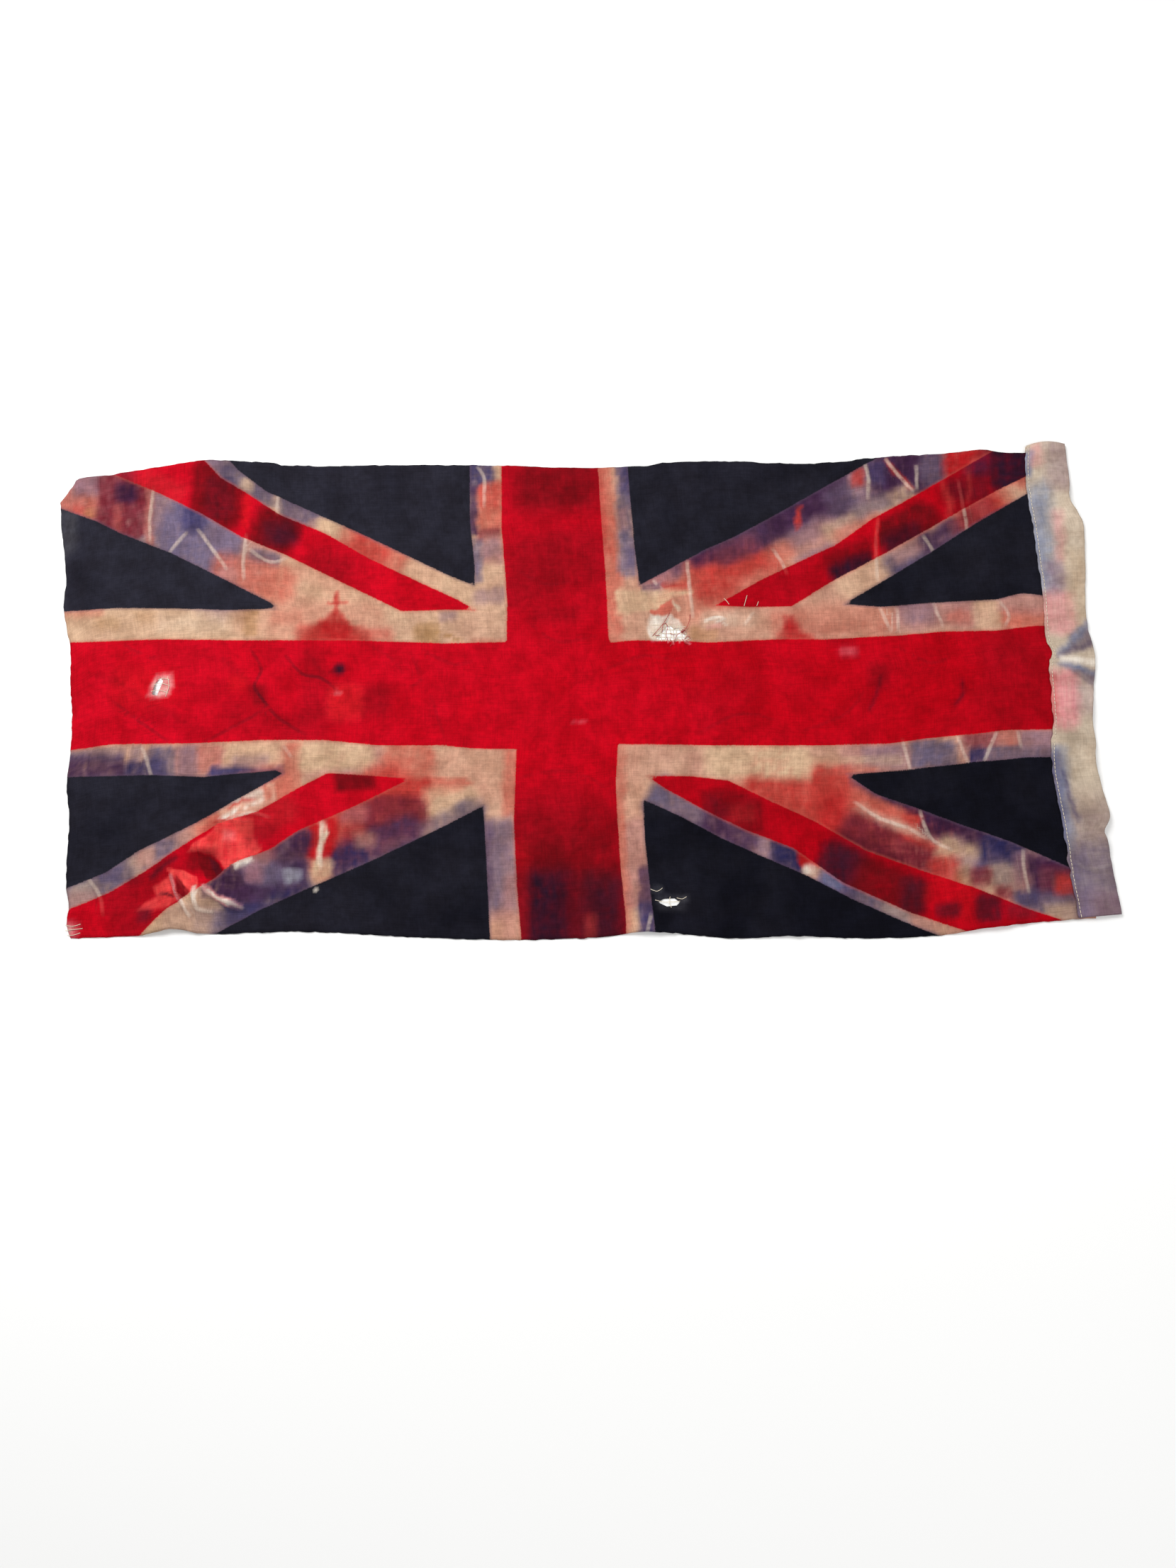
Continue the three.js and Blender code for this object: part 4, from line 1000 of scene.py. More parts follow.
def spin_thread(name: str, runs: list[list[Vector]], radius_mm: float,
                material: bpy.types.Material) -> bpy.types.Object:
    """Makes threads as one mesh, each a thin closed tube.

    Args:
        name: the object's name.
        runs: the points of each thread, in millimetres.
        radius_mm: the thread's radius.
        material: its finish.
    Returns:
        The object, at the origin.
    """
    curve = bpy.data.curves.new(name, "CURVE")
    curve.dimensions = "3D"
    curve.bevel_depth = radius_mm * MM
    curve.bevel_resolution = 1
    curve.use_fill_caps = True
    for run in runs:
        line = curve.splines.new("POLY")
        line.points.add(len(run) - 1)
        for point, place in zip(line.points, run):
            point.co = (*(place * MM), 1)
    holder = bpy.data.objects.new(name, curve)
    bm = bmesh.new()
    bm.from_mesh(bpy.data.meshes.new_from_object(holder))
    bpy.data.objects.remove(holder)
    bmesh.ops.remove_doubles(bm, verts=bm.verts, dist=radius_mm * MM / 20)
    bmesh.ops.recalc_face_normals(bm, faces=bm.faces)
    return finish_mesh(name, bm, material)


# ---- Finishes -------------------------------------------------------------------------------------
@dataclass(frozen=True)
class Weave:
    """Plain weave as bump: crossing yarns, their slubs, and the small crumple of washed cotton."""

    yarn_mm: float = 1.2  # real yarns are about 0.5 mm apart, drawn coarser to show
    slub_mm: tuple[float, float] = (24.0, 1.1)  # length and width of a thick stretch of yarn
    crumple_mm: float = 11.0
    relief_mm: float = 0.5
    strength: float = 0.5

    def build(self, tree: bpy.types.NodeTree,
              line: bpy.types.NodeSocket) -> tuple[bpy.types.NodeSocket, bpy.types.NodeSocket]:
        """Adds the weave's nodes.

        Args:
            tree: the material's node tree.
            line: relief of the fine line on each crease.
        Returns:
            The slubs' shade from 0 to 1, and the bumped normal.
        """
        cloth = add_node(tree, "ShaderNodeUVMap", {"uv_map": "cloth"}).outputs[0]
        place = add_node(tree, "ShaderNodeTexCoord").outputs["Object"]
        long, wide = (1 / (size * MM) for size in self.slub_mm)
        shades, ridges = [], []
        for scale, turn in (((long, wide, 1), "X"), ((wide, long, 1), "Y")):
            stretched = add_node(tree, "ShaderNodeMapping", {}, {0: cloth, "Scale": scale})
            slub = add_node(tree, "ShaderNodeTexNoise", {"noise_dimensions": "2D"},
                            {"Vector": stretched.outputs[0], "Scale": 1.0, "Detail": 2.0})
            yarn = add_node(tree, "ShaderNodeTexWave", {"bands_direction": turn},
                            {"Vector": cloth, "Scale": math.pi / 10 / (self.yarn_mm * MM)})
            shades.append(slub.outputs["Fac"])
            ridges.append(yarn.outputs["Fac"])
        shade = add_node(tree, "ShaderNodeMath", {"operation": "ADD"}, {0: shades[0], 1: shades[1]})
        half = add_node(tree, "ShaderNodeMath", {"operation": "MULTIPLY"}, {0: shade.outputs[0], 1: 0.5})
        yarns = add_node(tree, "ShaderNodeMath", {"operation": "ADD"}, {0: ridges[0], 1: ridges[1]})
        crumple = add_node(tree, "ShaderNodeTexNoise", {},
                           {"Vector": place, "Scale": 1 / (self.crumple_mm * MM), "Detail": 5.0,
                            "Roughness": 0.55, "Distortion": 0.6})
        fine = add_node(tree, "ShaderNodeMath", {"operation": "MULTIPLY_ADD"},
                        {0: yarns.outputs[0], 1: 0.07, 2: crumple.outputs["Fac"]})
        relief = add_node(tree, "ShaderNodeMath", {"operation": "MULTIPLY_ADD"},
                          {0: half.outputs[0], 1: 0.35, 2: fine.outputs[0]})
        creased = add_node(tree, "ShaderNodeMath", {"operation": "MULTIPLY_ADD"},
                           {0: line, 1: 0.35, 2: relief.outputs[0]})
        bump = add_node(tree, "ShaderNodeBump", {},
                        {"Strength": self.strength, "Distance": self.relief_mm * MM * 5,
                         "Height": creased.outputs[0]})
        return half.outputs[0], bump.outputs[0]


class Cloth:
    """Common steps of the woven finishes: where dyes are read and how one colour covers another."""

    def __init__(self, name: str, weave: Weave, roughness: float) -> None:
        """Starts the material with its weave and its shader."""
        self.material = bpy.data.materials.new(name)
        self.material.use_nodes = True
        self.tree = self.material.node_tree
        self.tree.nodes.clear()
        self.place = add_node(self.tree, "ShaderNodeTexCoord").outputs["Object"]
        self.lines = self.crease_lines()
        self.slub, normal = weave.build(self.tree, self.lines[2])
        self.shader = add_node(self.tree, "ShaderNodeBsdfPrincipled", {},
                               {"Roughness": roughness, "Specular IOR Level": 0.06, "Normal": normal})
        add_node(self.tree, "ShaderNodeOutputMaterial", {}, {"Surface": self.shader.outputs[0]})

    def colour(self, attribute: str) -> bpy.types.NodeSocket:
        """Gives one attribute as a colour."""
        return add_node(self.tree, "ShaderNodeAttribute", {"attribute_name": attribute}).outputs["Color"]

    def crease_lines(self) -> tuple:
        """Draws the fine line on each crease: its pale and its dark share, the dark being painted shade,
        and its relief.
        """
        away, pale, dark = self.parts("line")
        wave = self.sums("MULTIPLY_ADD", self.mottle(14, 3.0), 3.0, -1.5)
        near = self.sums("ABSOLUTE", self.sums("ADD", away, wave), 0.0)
        ridge = self.ramp(near, 2.6, 0.2)
        fine = self.ramp(near, 2.7, 0.5, 0.7)
        relief = self.sums("MULTIPLY", ridge, self.sums("SUBTRACT", pale, dark))
        return self.sums("MULTIPLY", fine, pale), self.sums("MULTIPLY", fine, dark), relief

    def crease_shares(self) -> tuple:
        """Gives how much pale and how much dark line shows, broken up by the weave; the dark is painted
        shade.
        """
        broken = self.ramp(self.mottle(7, 3.0), 0.1, 0.55)
        return (self.sums("MULTIPLY", self.lines[0], broken), self.sums("MULTIPLY", self.lines[1], broken))

    def finish(self, colour: bpy.types.NodeSocket, low: str) -> None:
        """Shades the colour by slubs and cloudy wear, darkens it in wider clouds as painted shade of
        crumples, and links it to the shader.
        """
        mixed = self.sums("MULTIPLY_ADD", self.slub, 0.55, self.sums("MULTIPLY", self.mottle(5), 0.45))
        shaded = self.cover(self.ramp(mixed, 0.32, 0.68), linear(low), linear("FFFFFF"))
        # painted shade of the crumples, in clouds about 22 mm wide
        crumpled = self.cover(self.ramp(self.mottle(22, 5.0), 0.34, 0.66), linear("E0DBD8"),
                              linear("FFFFFF"))
        shaded = self.cover(1.0, shaded, crumpled, "MULTIPLY")
        self.tree.links.new(self.cover(1.0, colour, shaded, "MULTIPLY"), self.shader.inputs["Base Color"])

    def parts(self, attribute: str) -> list[bpy.types.NodeSocket]:
        """Gives the three numbers of one attribute."""
        read = add_node(self.tree, "ShaderNodeAttribute", {"attribute_name": attribute})
        return list(add_node(self.tree, "ShaderNodeSeparateXYZ", {}, {0: read.outputs["Vector"]}).outputs)

    def mottle(self, size_mm: float, detail: float = 4.0) -> bpy.types.NodeSocket:
        """Gives cloudy noise from 0 to 1 with patches of that size."""
        made = add_node(self.tree, "ShaderNodeTexNoise", {},
                        {"Vector": self.place, "Scale": 1 / (size_mm * MM), "Detail": detail,
                         "Roughness": 0.6})
        return made.outputs["Fac"]

    def sums(self, operation: str, first: object, second: object, third: object = 0.0,
             clamp: bool = False) -> bpy.types.NodeSocket:
        """Gives the result of one sum on numbers or sockets."""
        made = add_node(self.tree, "ShaderNodeMath", {"operation": operation, "use_clamp": clamp},
                        {0: first, 1: second, 2: third})
        return made.outputs[0]

    def ramp(self, value: bpy.types.NodeSocket, low: float, high: float,
             top: float = 1.0) -> bpy.types.NodeSocket:
        """Rises smoothly from 0 at low to top at high."""
        made = add_node(self.tree, "ShaderNodeMapRange", {"interpolation_type": "SMOOTHSTEP"},
                        {"Value": value, "From Min": low, "From Max": high, "To Max": top})
        return made.outputs[0]

    def cover(self, share: object, under: object, over: object, blend: str = "MIX") -> bpy.types.NodeSocket:
        """Lays one colour over another by a share."""
        made = add_node(self.tree, "ShaderNodeMix", {**COLOUR_MIX, "blend_type": blend},
                        {FACTOR: share, FIRST: under, SECOND: over})
        return made.outputs[MIXED]


@dataclass(frozen=True)
class PrintedBunting:
    """Plain-woven cotton bunting, printed with dyes that have run: matt, cloudy and a little crumpled."""

    bleed: str = "CC5A50"
    navy_bleed: str = "5E4A60"
    crease: str = "F2DCCB"
    red_crease: str = "EE6A68"
    # painted shade along the crease lines
    crease_shade: str = "3A1420"
    edge_mm: float = 0.6  # half width of the printed edge's own softness
    bleed_mm: float = 3.2

    def make(self) -> bpy.types.Material:
        """Builds the material."""
        cloth = Cloth("printed_cotton_bunting", Weave(), roughness=0.9)
        white, red, navy = (cloth.colour(name) for name in ("on_white", "on_red", "on_navy"))
        red_depth, navy_depth, _ = cloth.parts("print")
        wobble = cloth.sums("MULTIPLY_ADD", cloth.slub, 2.4, -1.2)
        is_red = cloth.ramp(cloth.sums("ADD", red_depth, wobble), -self.edge_mm, self.edge_mm)
        is_navy = cloth.ramp(cloth.sums("ADD", navy_depth, wobble), -self.edge_mm, self.edge_mm)
        white = cloth.cover(cloth.ramp(red_depth, -self.bleed_mm, 0, 0.35), white, linear(self.bleed))
        white = cloth.cover(cloth.ramp(navy_depth, -self.bleed_mm, 0, 0.45), white, linear(self.navy_bleed))
        pale, dark = cloth.crease_shares()
        white = cloth.cover(pale, white, linear(self.crease))
        red = cloth.cover(cloth.sums("MULTIPLY", pale, 0.55), red, linear(self.red_crease))
        colour = cloth.cover(is_red, white, red)
        # painted shade along the crease lines
        colour = cloth.cover(dark, colour, linear(self.crease_shade))
        colour = cloth.cover(is_navy, colour, navy)
        cloth.finish(colour, "DADADA")
        return cloth.material


@dataclass(frozen=True)
class CottonTape:
    """Unbleached cotton tape, softened by use: cream with run blue and pink in it."""

    crease: str = "E6DCCB"
    # painted shade along the crease lines
    crease_shade: str = "6E6878"

    def make(self) -> bpy.types.Material:
        """Builds the material."""
        cloth = Cloth("cream_cotton_tape", Weave(crumple_mm=14.0, strength=0.35), roughness=0.9)
        pale, dark = cloth.crease_shares()
        colour = cloth.cover(pale, cloth.colour("on_white"), linear(self.crease))
        # painted shade along the crease lines
        colour = cloth.cover(cloth.sums("MULTIPLY", dark, 0.6), colour, linear(self.crease_shade))
        cloth.finish(colour, "E2E2E2")
        return cloth.material


@dataclass(frozen=True)
class SpunThread:
    """Spun cotton thread: pale and matt, its twist too fine to show but as a slight unevenness."""

    name: str = "spun_cotton_thread"
    light: str = "EFE6D6"
    dark: str = "CDBB9E"
    slub_mm: float = 3.0

    def make(self) -> bpy.types.Material:
        """Builds the material."""
        material = bpy.data.materials.new(self.name)
        material.use_nodes = True
        tree = material.node_tree
        place = add_node(tree, "ShaderNodeTexCoord").outputs["Object"]
        slub = add_node(tree, "ShaderNodeTexNoise", {},
                        {"Vector": place, "Scale": 1 / (self.slub_mm * MM), "Detail": 3.0})
        colour = add_node(tree, "ShaderNodeMix", COLOUR_MIX,
                          {FACTOR: slub.outputs["Fac"], FIRST: linear(self.light),
                            SECOND: linear(self.dark)})
        bump = add_node(tree, "ShaderNodeBump", {},
                        {"Strength": 0.4, "Distance": 0.1 * MM, "Height": slub.outputs["Fac"]})
        shader = tree.nodes["Principled BSDF"]
        shader.inputs["Roughness"].default_value = 0.8
        shader.inputs["Specular IOR Level"].default_value = 0.1
        tree.links.new(colour.outputs[MIXED], shader.inputs["Base Color"])
        tree.links.new(bump.outputs[0], shader.inputs["Normal"])
        return material


# ---- The fly ----------------------------------------------------------------------------------------
@dataclass
class Fly:
    """The printed panel: one sheet between its four edges, with its holes, creases and dyes."""

    length: float = 940.0
    height: float = 457.0
    thickness: float = 0.6
    columns: int = 256
    rows: int = 126
    layer_rise: float = 1.5  # from the surface up onto the heading's lower layer
    seat: float = 0.5  # height of its middle where it lies flat
    fray: float = 0.7  # how far its edges wander
    holes: tuple[Hole, ...] = (TEAR, WORN_SPOT, NAVY_HOLE)
    sides: list = field(default_factory=list)

    def __post_init__(self) -> None:
        """Prepares the four edges: bottom, top, fly end and the end sewn into the heading."""
        sewn = [BOTTOM_EDGE[-1], *[(x + SEWN_DEPTH, y) for x, y in SEAM[1:-1]], TOP_EDGE[-1]]
        self.sides = [Route(BOTTOM_EDGE), Route(TOP_EDGE), Route(FLY_EDGE), Route(tuple(sewn))]

    def lie(self, shares: np.ndarray) -> np.ndarray:
        """Finds where the cloth lies in plan.

        Args:
            shares: rows of shares along the fly and up it.
        Returns:
            Rows of x and y in millimetres, stretched between the four edges.
        """
        u, v = shares[:, :1], shares[:, 1:]
        bottom, top = (side.at(shares[:, 0]) for side in self.sides[:2])
        left, right = (side.at(shares[:, 1]) for side in self.sides[2:])
        ends = [side.at(np.array([0.0, 1.0])) for side in self.sides[:2]]
        low_side = (1 - u) * ends[0][0] + u * ends[0][1]
        high_side = (1 - u) * ends[1][0] + u * ends[1][1]
        corners = (1 - v) * low_side + v * high_side
        return (1 - v) * bottom + v * top + (1 - u) * left + u * right - corners

    def lift(self, spots: np.ndarray) -> np.ndarray:
        """Gives the height of the middle of the cloth at each spot."""
        seam = Route(SEAM).dense()
        climb_end = np.interp(spots[:, 1], seam[:, 1], seam[:, 0]) - CLIMB_END
        climbed = smooth(spots[:, 0] - climb_end, -CLIMB, 0)
        ripple = 1.0 * np.abs(cloud(spots, 42, 3.0)) + 0.4 * cloud(spots, 15, 9.0)
        height = self.seat + self.layer_rise * climbed + cover_height(spots) + ripple * (1 - climbed)
        return np.maximum(height, self.thickness / 2 + 0.05)

    def open_holes(self, bm: bmesh.types.BMesh) -> None:
        """Refines the grid where the detail is finest, and takes the cloth out of each hole."""
        for level in (1, 2):
            spots = self.lie(shares_of(bm))
            near = np.zeros(len(spots), bool)
            for x, y, reach, finest in FINE_PLACES:
                near |= (np.hypot(*(spots - (x, y)).T) < reach) & (level <= finest)
            edges = [edge for edge in bm.edges if near[edge.verts[0].index] and near[edge.verts[1].index]]
            bmesh.ops.subdivide_edges(bm, edges=edges, cuts=1, use_grid_fill=True)
            bm.verts.index_update()
        centres = self.lie(np.array([face.calc_center_median()[:2] for face in bm.faces]))
        gone = np.zeros(len(centres), bool)
        for hole in self.holes:
            gone |= inside(centres, np.array(hole.outline))
        bmesh.ops.delete(bm, geom=[face for face, out in zip(list(bm.faces), gone) if out], context="FACES")
        bmesh.ops.triangulate(bm, faces=[face for face in bm.faces if len(face.verts) > 4])
        bm.verts.index_update()

    def hem_holes(self, bm: bmesh.types.BMesh, spots: np.ndarray) -> np.ndarray:
        """Draws the rims of the holes onto their outlines.

        Args:
            bm: the mesh with its holes open.
            spots: where its vertices lie.
        Returns:
            The same spots, with those on a rim moved.
        """
        moved = spots.copy()
        rim = np.array([vertex.is_boundary for vertex in bm.verts])
        for hole in self.holes:
            ring = np.array([*hole.outline, hole.outline[0]], float)
            for i in np.flatnonzero(rim & (np.hypot(*(spots - hole.middle()).T) < hole.reach() + 3)):
                near = [a + np.clip((spots[i] - a) @ (b - a) / ((b - a) @ (b - a)), 0, 1) * (b - a)
                        for a, b in zip(ring, ring[1:])]
                moved[i] = min(near, key=lambda place: np.hypot(*(place - spots[i])))
        return moved

    def build(self, material: bpy.types.Material) -> bpy.types.Object:
        """Makes the panel.

        Args:
            material: the printed cloth.
        Returns:
            The panel's object.
        """
        bm = flat_grid(self.columns, self.rows)
        self.open_holes(bm)
        shares = shares_of(bm)
        spots = self.hem_holes(bm, self.lie(shares))
        edge = np.minimum(np.minimum(shares[:, 0], 1 - shares[:, 0]) * self.length,
                          np.minimum(shares[:, 1], 1 - shares[:, 1]) * self.height)
        ragged = self.fray * np.exp(-edge / 4)[:, None]
        spots = spots + ragged * np.column_stack([cloud(spots, 7, 31.0, 3), cloud(spots, 7, 37.0, 3)])
        heights = self.lift(spots)
        for vertex, (x, y), z in zip(bm.verts, spots, heights):
            vertex.co = (x * MM, y * MM, z * MM)
        made = finish_mesh("printed_fly", bm, material)
        paint(made, self.fields(spots), shares * [self.length, self.height])
        thicken(made, self.thickness)
        return made

    def fields(self, spots: np.ndarray) -> dict[str, np.ndarray]:
        """Colours the cloth: what its white, red and navy have become, with painted shade darkening each
        towards the hoist and the lower edge, and where each is printed.
        """
        warp = wander(spots, 50.0)
        # right and low darken the grounds below: painted shade of the light from the upper fly corner
        right = smooth(spots[:, 0], -420, 420)
        low = smooth(-spots[:, 1], -220, 220)
        white = blend("DEB797", "CE9884", 0.85 * right + 0.2 * low + 0.3 * cloud(spots, 30, 61.0))
        red = blend("D40621", "C60014", 0.75 * right + 0.3 * low + 0.35 * cloud(spots, 46, 67.0))
        navy = blend("2B2A35", "10101A", 0.6 * right + 0.45 * low + 0.25 * cloud(spots, 40, 71.0))
        depths = [np.max([outline_depth(spots, outline) for outline in outlines], axis=0)
                  for outlines in ((RED_CROSS, *RED_ARMS), NAVY_FIELDS)]
        return {"on_white": dyed(spots, white, ON_WHITE, warp),
                "on_red": dyed(spots, red, ON_RED, warp * 0.5),
                "on_navy": dyed(spots, navy, ON_NAVY, warp * 0.3), "print": np.column_stack([*depths, low]),
                "line": crease_lines(spots, CREASES)}


# ---- The heading ------------------------------------------------------------------------------------
HEADING_MARKS = (
    Blot(T.MAUVE, (444, 505), (-240, -110), 0.35, 26), Blot(T.SLATE, (446, 505), (-240, -150), 0.6, 10),
    Blot(T.DOVE, (426, 455), (84, 196), 0.85, 8), Blot(T.SKY, (428, 448), (96, 180), 0.4, 6),
    Blot(T.SKY, (428, 438), (202, 230), 0.8, 3), Blot(T.SHELL, (436, 447), (211, 236), 0.5, 5),
    Blot(T.SHELL, (454, 464), (116, 168), 0.45, 5), Blot(T.MAUVE, (444, 462), (84, 118), 0.6, 6),
    Blot(T.SHELL, (439, 470), (46, 88), 0.65, 6), Blot(T.ROSE, (444, 462), (52, 80), 0.2, 5),
    Blot(T.SHELL, (442, 469), (-44, 14), 0.85, 6), Blot(T.CORAL, (440, 450), (-34, 8), 0.35, 4),
    Blot(T.MAUVE, (466, 492), (-32, 12), 0.3, 7),
    Patch(T.SLATE, ((450, 25), (466, 46), (492, 72), (492, 34)), 0.6, 4),
    Streak(T.SKY, ((450, 26), (468, 42), (489, 66)), 6, 0.7, 4),
    Streak(T.SLATE, ((451, 25), (468, 31), (490, 40)), 5, 0.6, 3),
    Patch(T.SLATE, ((450, 20), (492, 8), (492, -10), (466, 10)), 0.65, 4),
    Streak(T.SKY, ((452, 20), (470, 14), (489, 8)), 4, 0.8, 3),
    Streak(T.GLOW, ((453, 23), (470, 20), (491, 18)), 6, 0.8, 2.5),
    Blot(T.BLUE, (438, 450), (-154, -66), 0.7, 4), Blot(T.SKY, (442, 456), (-160, -60), 0.6, 5),
    Streak(T.BLUE, ((451, -84), (456, -106), (462, -134)), 3, 0.7, 2.5),
    Blot(T.MAUVE, (448, 500), (-224, -196), 0.6, 8), Blot(T.LILAC, (448, 470), (-222, -160), 0.5, 8),
    Blot(T.TAN, (466, 484), (60, 130), 0.2, 9), Blot(T.PALE, (462, 480), (-120, -60), 0.35, 8),
    Blot(T.MAUVE, (450, 486), (188, 240), 0.4, 8),
)
HEADING_CREASES = (
    Crease(((448, 26), (466, 42), (488, 64)), 1.3, 5, 0.1),
    Crease(((450, 24), (470, 20), (488, 17)), 1.3, 5, 0.1),
    Crease(((450, 22), (468, 12), (486, -4)), -1.0, 5, 0.1),
    Crease(((443, -71), (462, -74), (482, -71)), 0.9, 5, 0.1),
    Crease(((441, -30), (458, -38), (480, -34)), 0.8, 5, 0.1),
    Crease(((440, 96), (460, 104), (482, 98)), 0.7, 5, 0.1),
    Crease(((438, 128), (462, 138), (483, 146)), 0.8, 5, 0.1),
    Crease(((434, 184), (456, 186), (474, 178)), 1.1, 6, 0.1),
    Crease(((448, -136), (470, -130), (488, -138)), 0.9, 6, 0.1),
    Crease(((456, -168), (470, -176), (492, -170)), 0.8, 6, 0.1),
    Crease(((436, 208), (452, 214), (468, 210)), 0.7, 5, 0.1),
    Crease(((452, -100), (462, -118), (466, -146)), 0.8, 5, 0.1),
)


@dataclass
class Heading:
    """The cotton strip folded over the hoist edge, puckered where it is sewn down."""

    width: float = 84.0
    height: float = 457.0
    thickness: float = 0.7
    layer_steps: int = 22
    fold_steps: int = 8
    rows: int = 220
    fold_radius: float = 1.5
    lower: float = 0.5  # height of the middle of its lower layer
    crown: float = 3.0  # the upper end bows up by this much
    crown_fade: float = 12.0
    pucker: float = 10.0  # spacing of the gathers along the seam
    stitch_in: float = 2.4  # the stitches' distance from the edge

    def place(self, shares: np.ndarray) -> np.ndarray:
        """Finds the middle of the strip.

        Args:
            shares: rows of shares round the strip, from the lower layer's edge, and up it.
        Returns:
            Rows of x, y and z in millimetres.
        """
        layer, total = self.layer_steps, 2 * self.layer_steps + self.fold_steps
        step = np.round(shares[:, 0] * total)
        turned = np.clip((step - layer) / self.fold_steps, 0, 1)
        flat = np.minimum(np.minimum(step, total - step) / layer, 1)
        upper = step > layer + self.fold_steps / 2
        inner, outer = Route(SEAM).at(shares[:, 1]), Route(HOIST_EDGE).at(shares[:, 1])
        tuck = self.fold_radius + 0.5
        span = outer[:, 0] - inner[:, 0] - tuck
        angle = math.pi * (turned - 0.5)
        run = shares[:, 1] * self.height
        gather = cloud(np.column_stack([run, run * 0]), self.pucker, 4.0, 2)
        from_edge = span * flat
        x = inner[:, 0] + from_edge + self.fold_radius * np.cos(angle) * (flat >= 1)
        waver = cloud(np.column_stack([run, run * 0]), 26, 8.0, 3) * 0.7 * flat
        x += upper * gather * 1.3 * np.exp(-from_edge / 4) + waver
        y = inner[:, 1] + (outer[:, 1] - inner[:, 1]) * (x - inner[:, 0]) / (span + tuck)
        y += self.crown * shares[:, 1] ** self.crown_fade * np.sin(math.pi * flat)
        spots = np.column_stack([x, y])
        sewn = 0.55 * np.exp(-((from_edge - self.stitch_in) / 2.2) ** 2)
        arch = 0.7 * np.sin(math.pi * np.clip(flat, 0, 1)) ** 0.7
        puff = arch + 0.9 * gather * np.exp(-from_edge / 9) * smooth(from_edge, 0, 3)
        crumple = 0.5 * cloud(spots, 24, 12.0) + sum(crease.height(spots) for crease in HEADING_CREASES)
        lift = sum(swell.height(spots) for swell in SWELLS)
        z = self.lower + self.fold_radius * (1 + np.sin(angle)) + lift
        z += upper * (puff + crumple - sewn)
        return np.column_stack([x, y, np.maximum(z, self.thickness / 2 + 0.05)])

    def build(self, material: bpy.types.Material) -> bpy.types.Object:
        """Makes the strip.

        Args:
            material: the cotton.
        Returns:
            The strip's object.
        """
        bm = flat_grid(2 * self.layer_steps + self.fold_steps, self.rows)
        shares = shares_of(bm)
        places = self.place(shares)
        for vertex, place in zip(bm.verts, places):
            vertex.co = place * MM
        made = finish_mesh("cotton_heading", bm, material)
        spots = places[:, :2]
        # darker towards the lower end: painted shade of the light from the upper fly corner, with random
        # tone in clouds
        low_shade_and_tone = 0.08 + 0.6 * smooth(-spots[:, 1], -10, 130) + 0.4 * cloud(spots, 28, 83.0)
        shaded_cream = blend("D9C6B0", "B0A08C", low_shade_and_tone)
        fields = {"on_white": dyed(spots, shaded_cream, HEADING_MARKS, wander(spots, 80.0)),
                  "line": crease_lines(spots, HEADING_CREASES)}
        paint(made, fields, shares * [self.width, self.height])
        thicken(made, self.thickness)
        return made


# ---- Sewing and loose threads -------------------------------------------------------------------------
@dataclass
class Stitching:
    """One row of machine stitches that holds the heading down."""

    heading: Heading
    pitch: float = 3.6
    length: float = 2.7
    radius: float = 0.3

    def build(self, material: bpy.types.Material) -> bpy.types.Object:
        """Makes the stitches, each a short low arch of thread on the upper layer."""
        count = int(self.heading.height / self.pitch)
        total = 2 * self.heading.layer_steps + self.heading.fold_steps
        middle = (np.arange(count) + 0.5) / count
        half = self.length / self.heading.height / 2
        across = 1 - 1.6 / total
        runs: list[list[Vector]] = [[] for _ in range(count)]
        for offset, rise in ((-half, -0.1), (-half * 0.5, 0.25), (half * 0.5, 0.25), (half, -0.1)):
            up = np.clip(middle + offset, 0, 1)
            places = self.heading.place(np.column_stack([np.full(count, across), up]))
            inner = Route(SEAM).at(up)
            for run, place, edge in zip(runs, places, inner):
                run.append(Vector((edge[0] + self.heading.stitch_in, place[1],
                                   place[2] + self.heading.thickness / 2 + rise)))
        return spin_thread("heading_stitches", runs, self.radius, material)


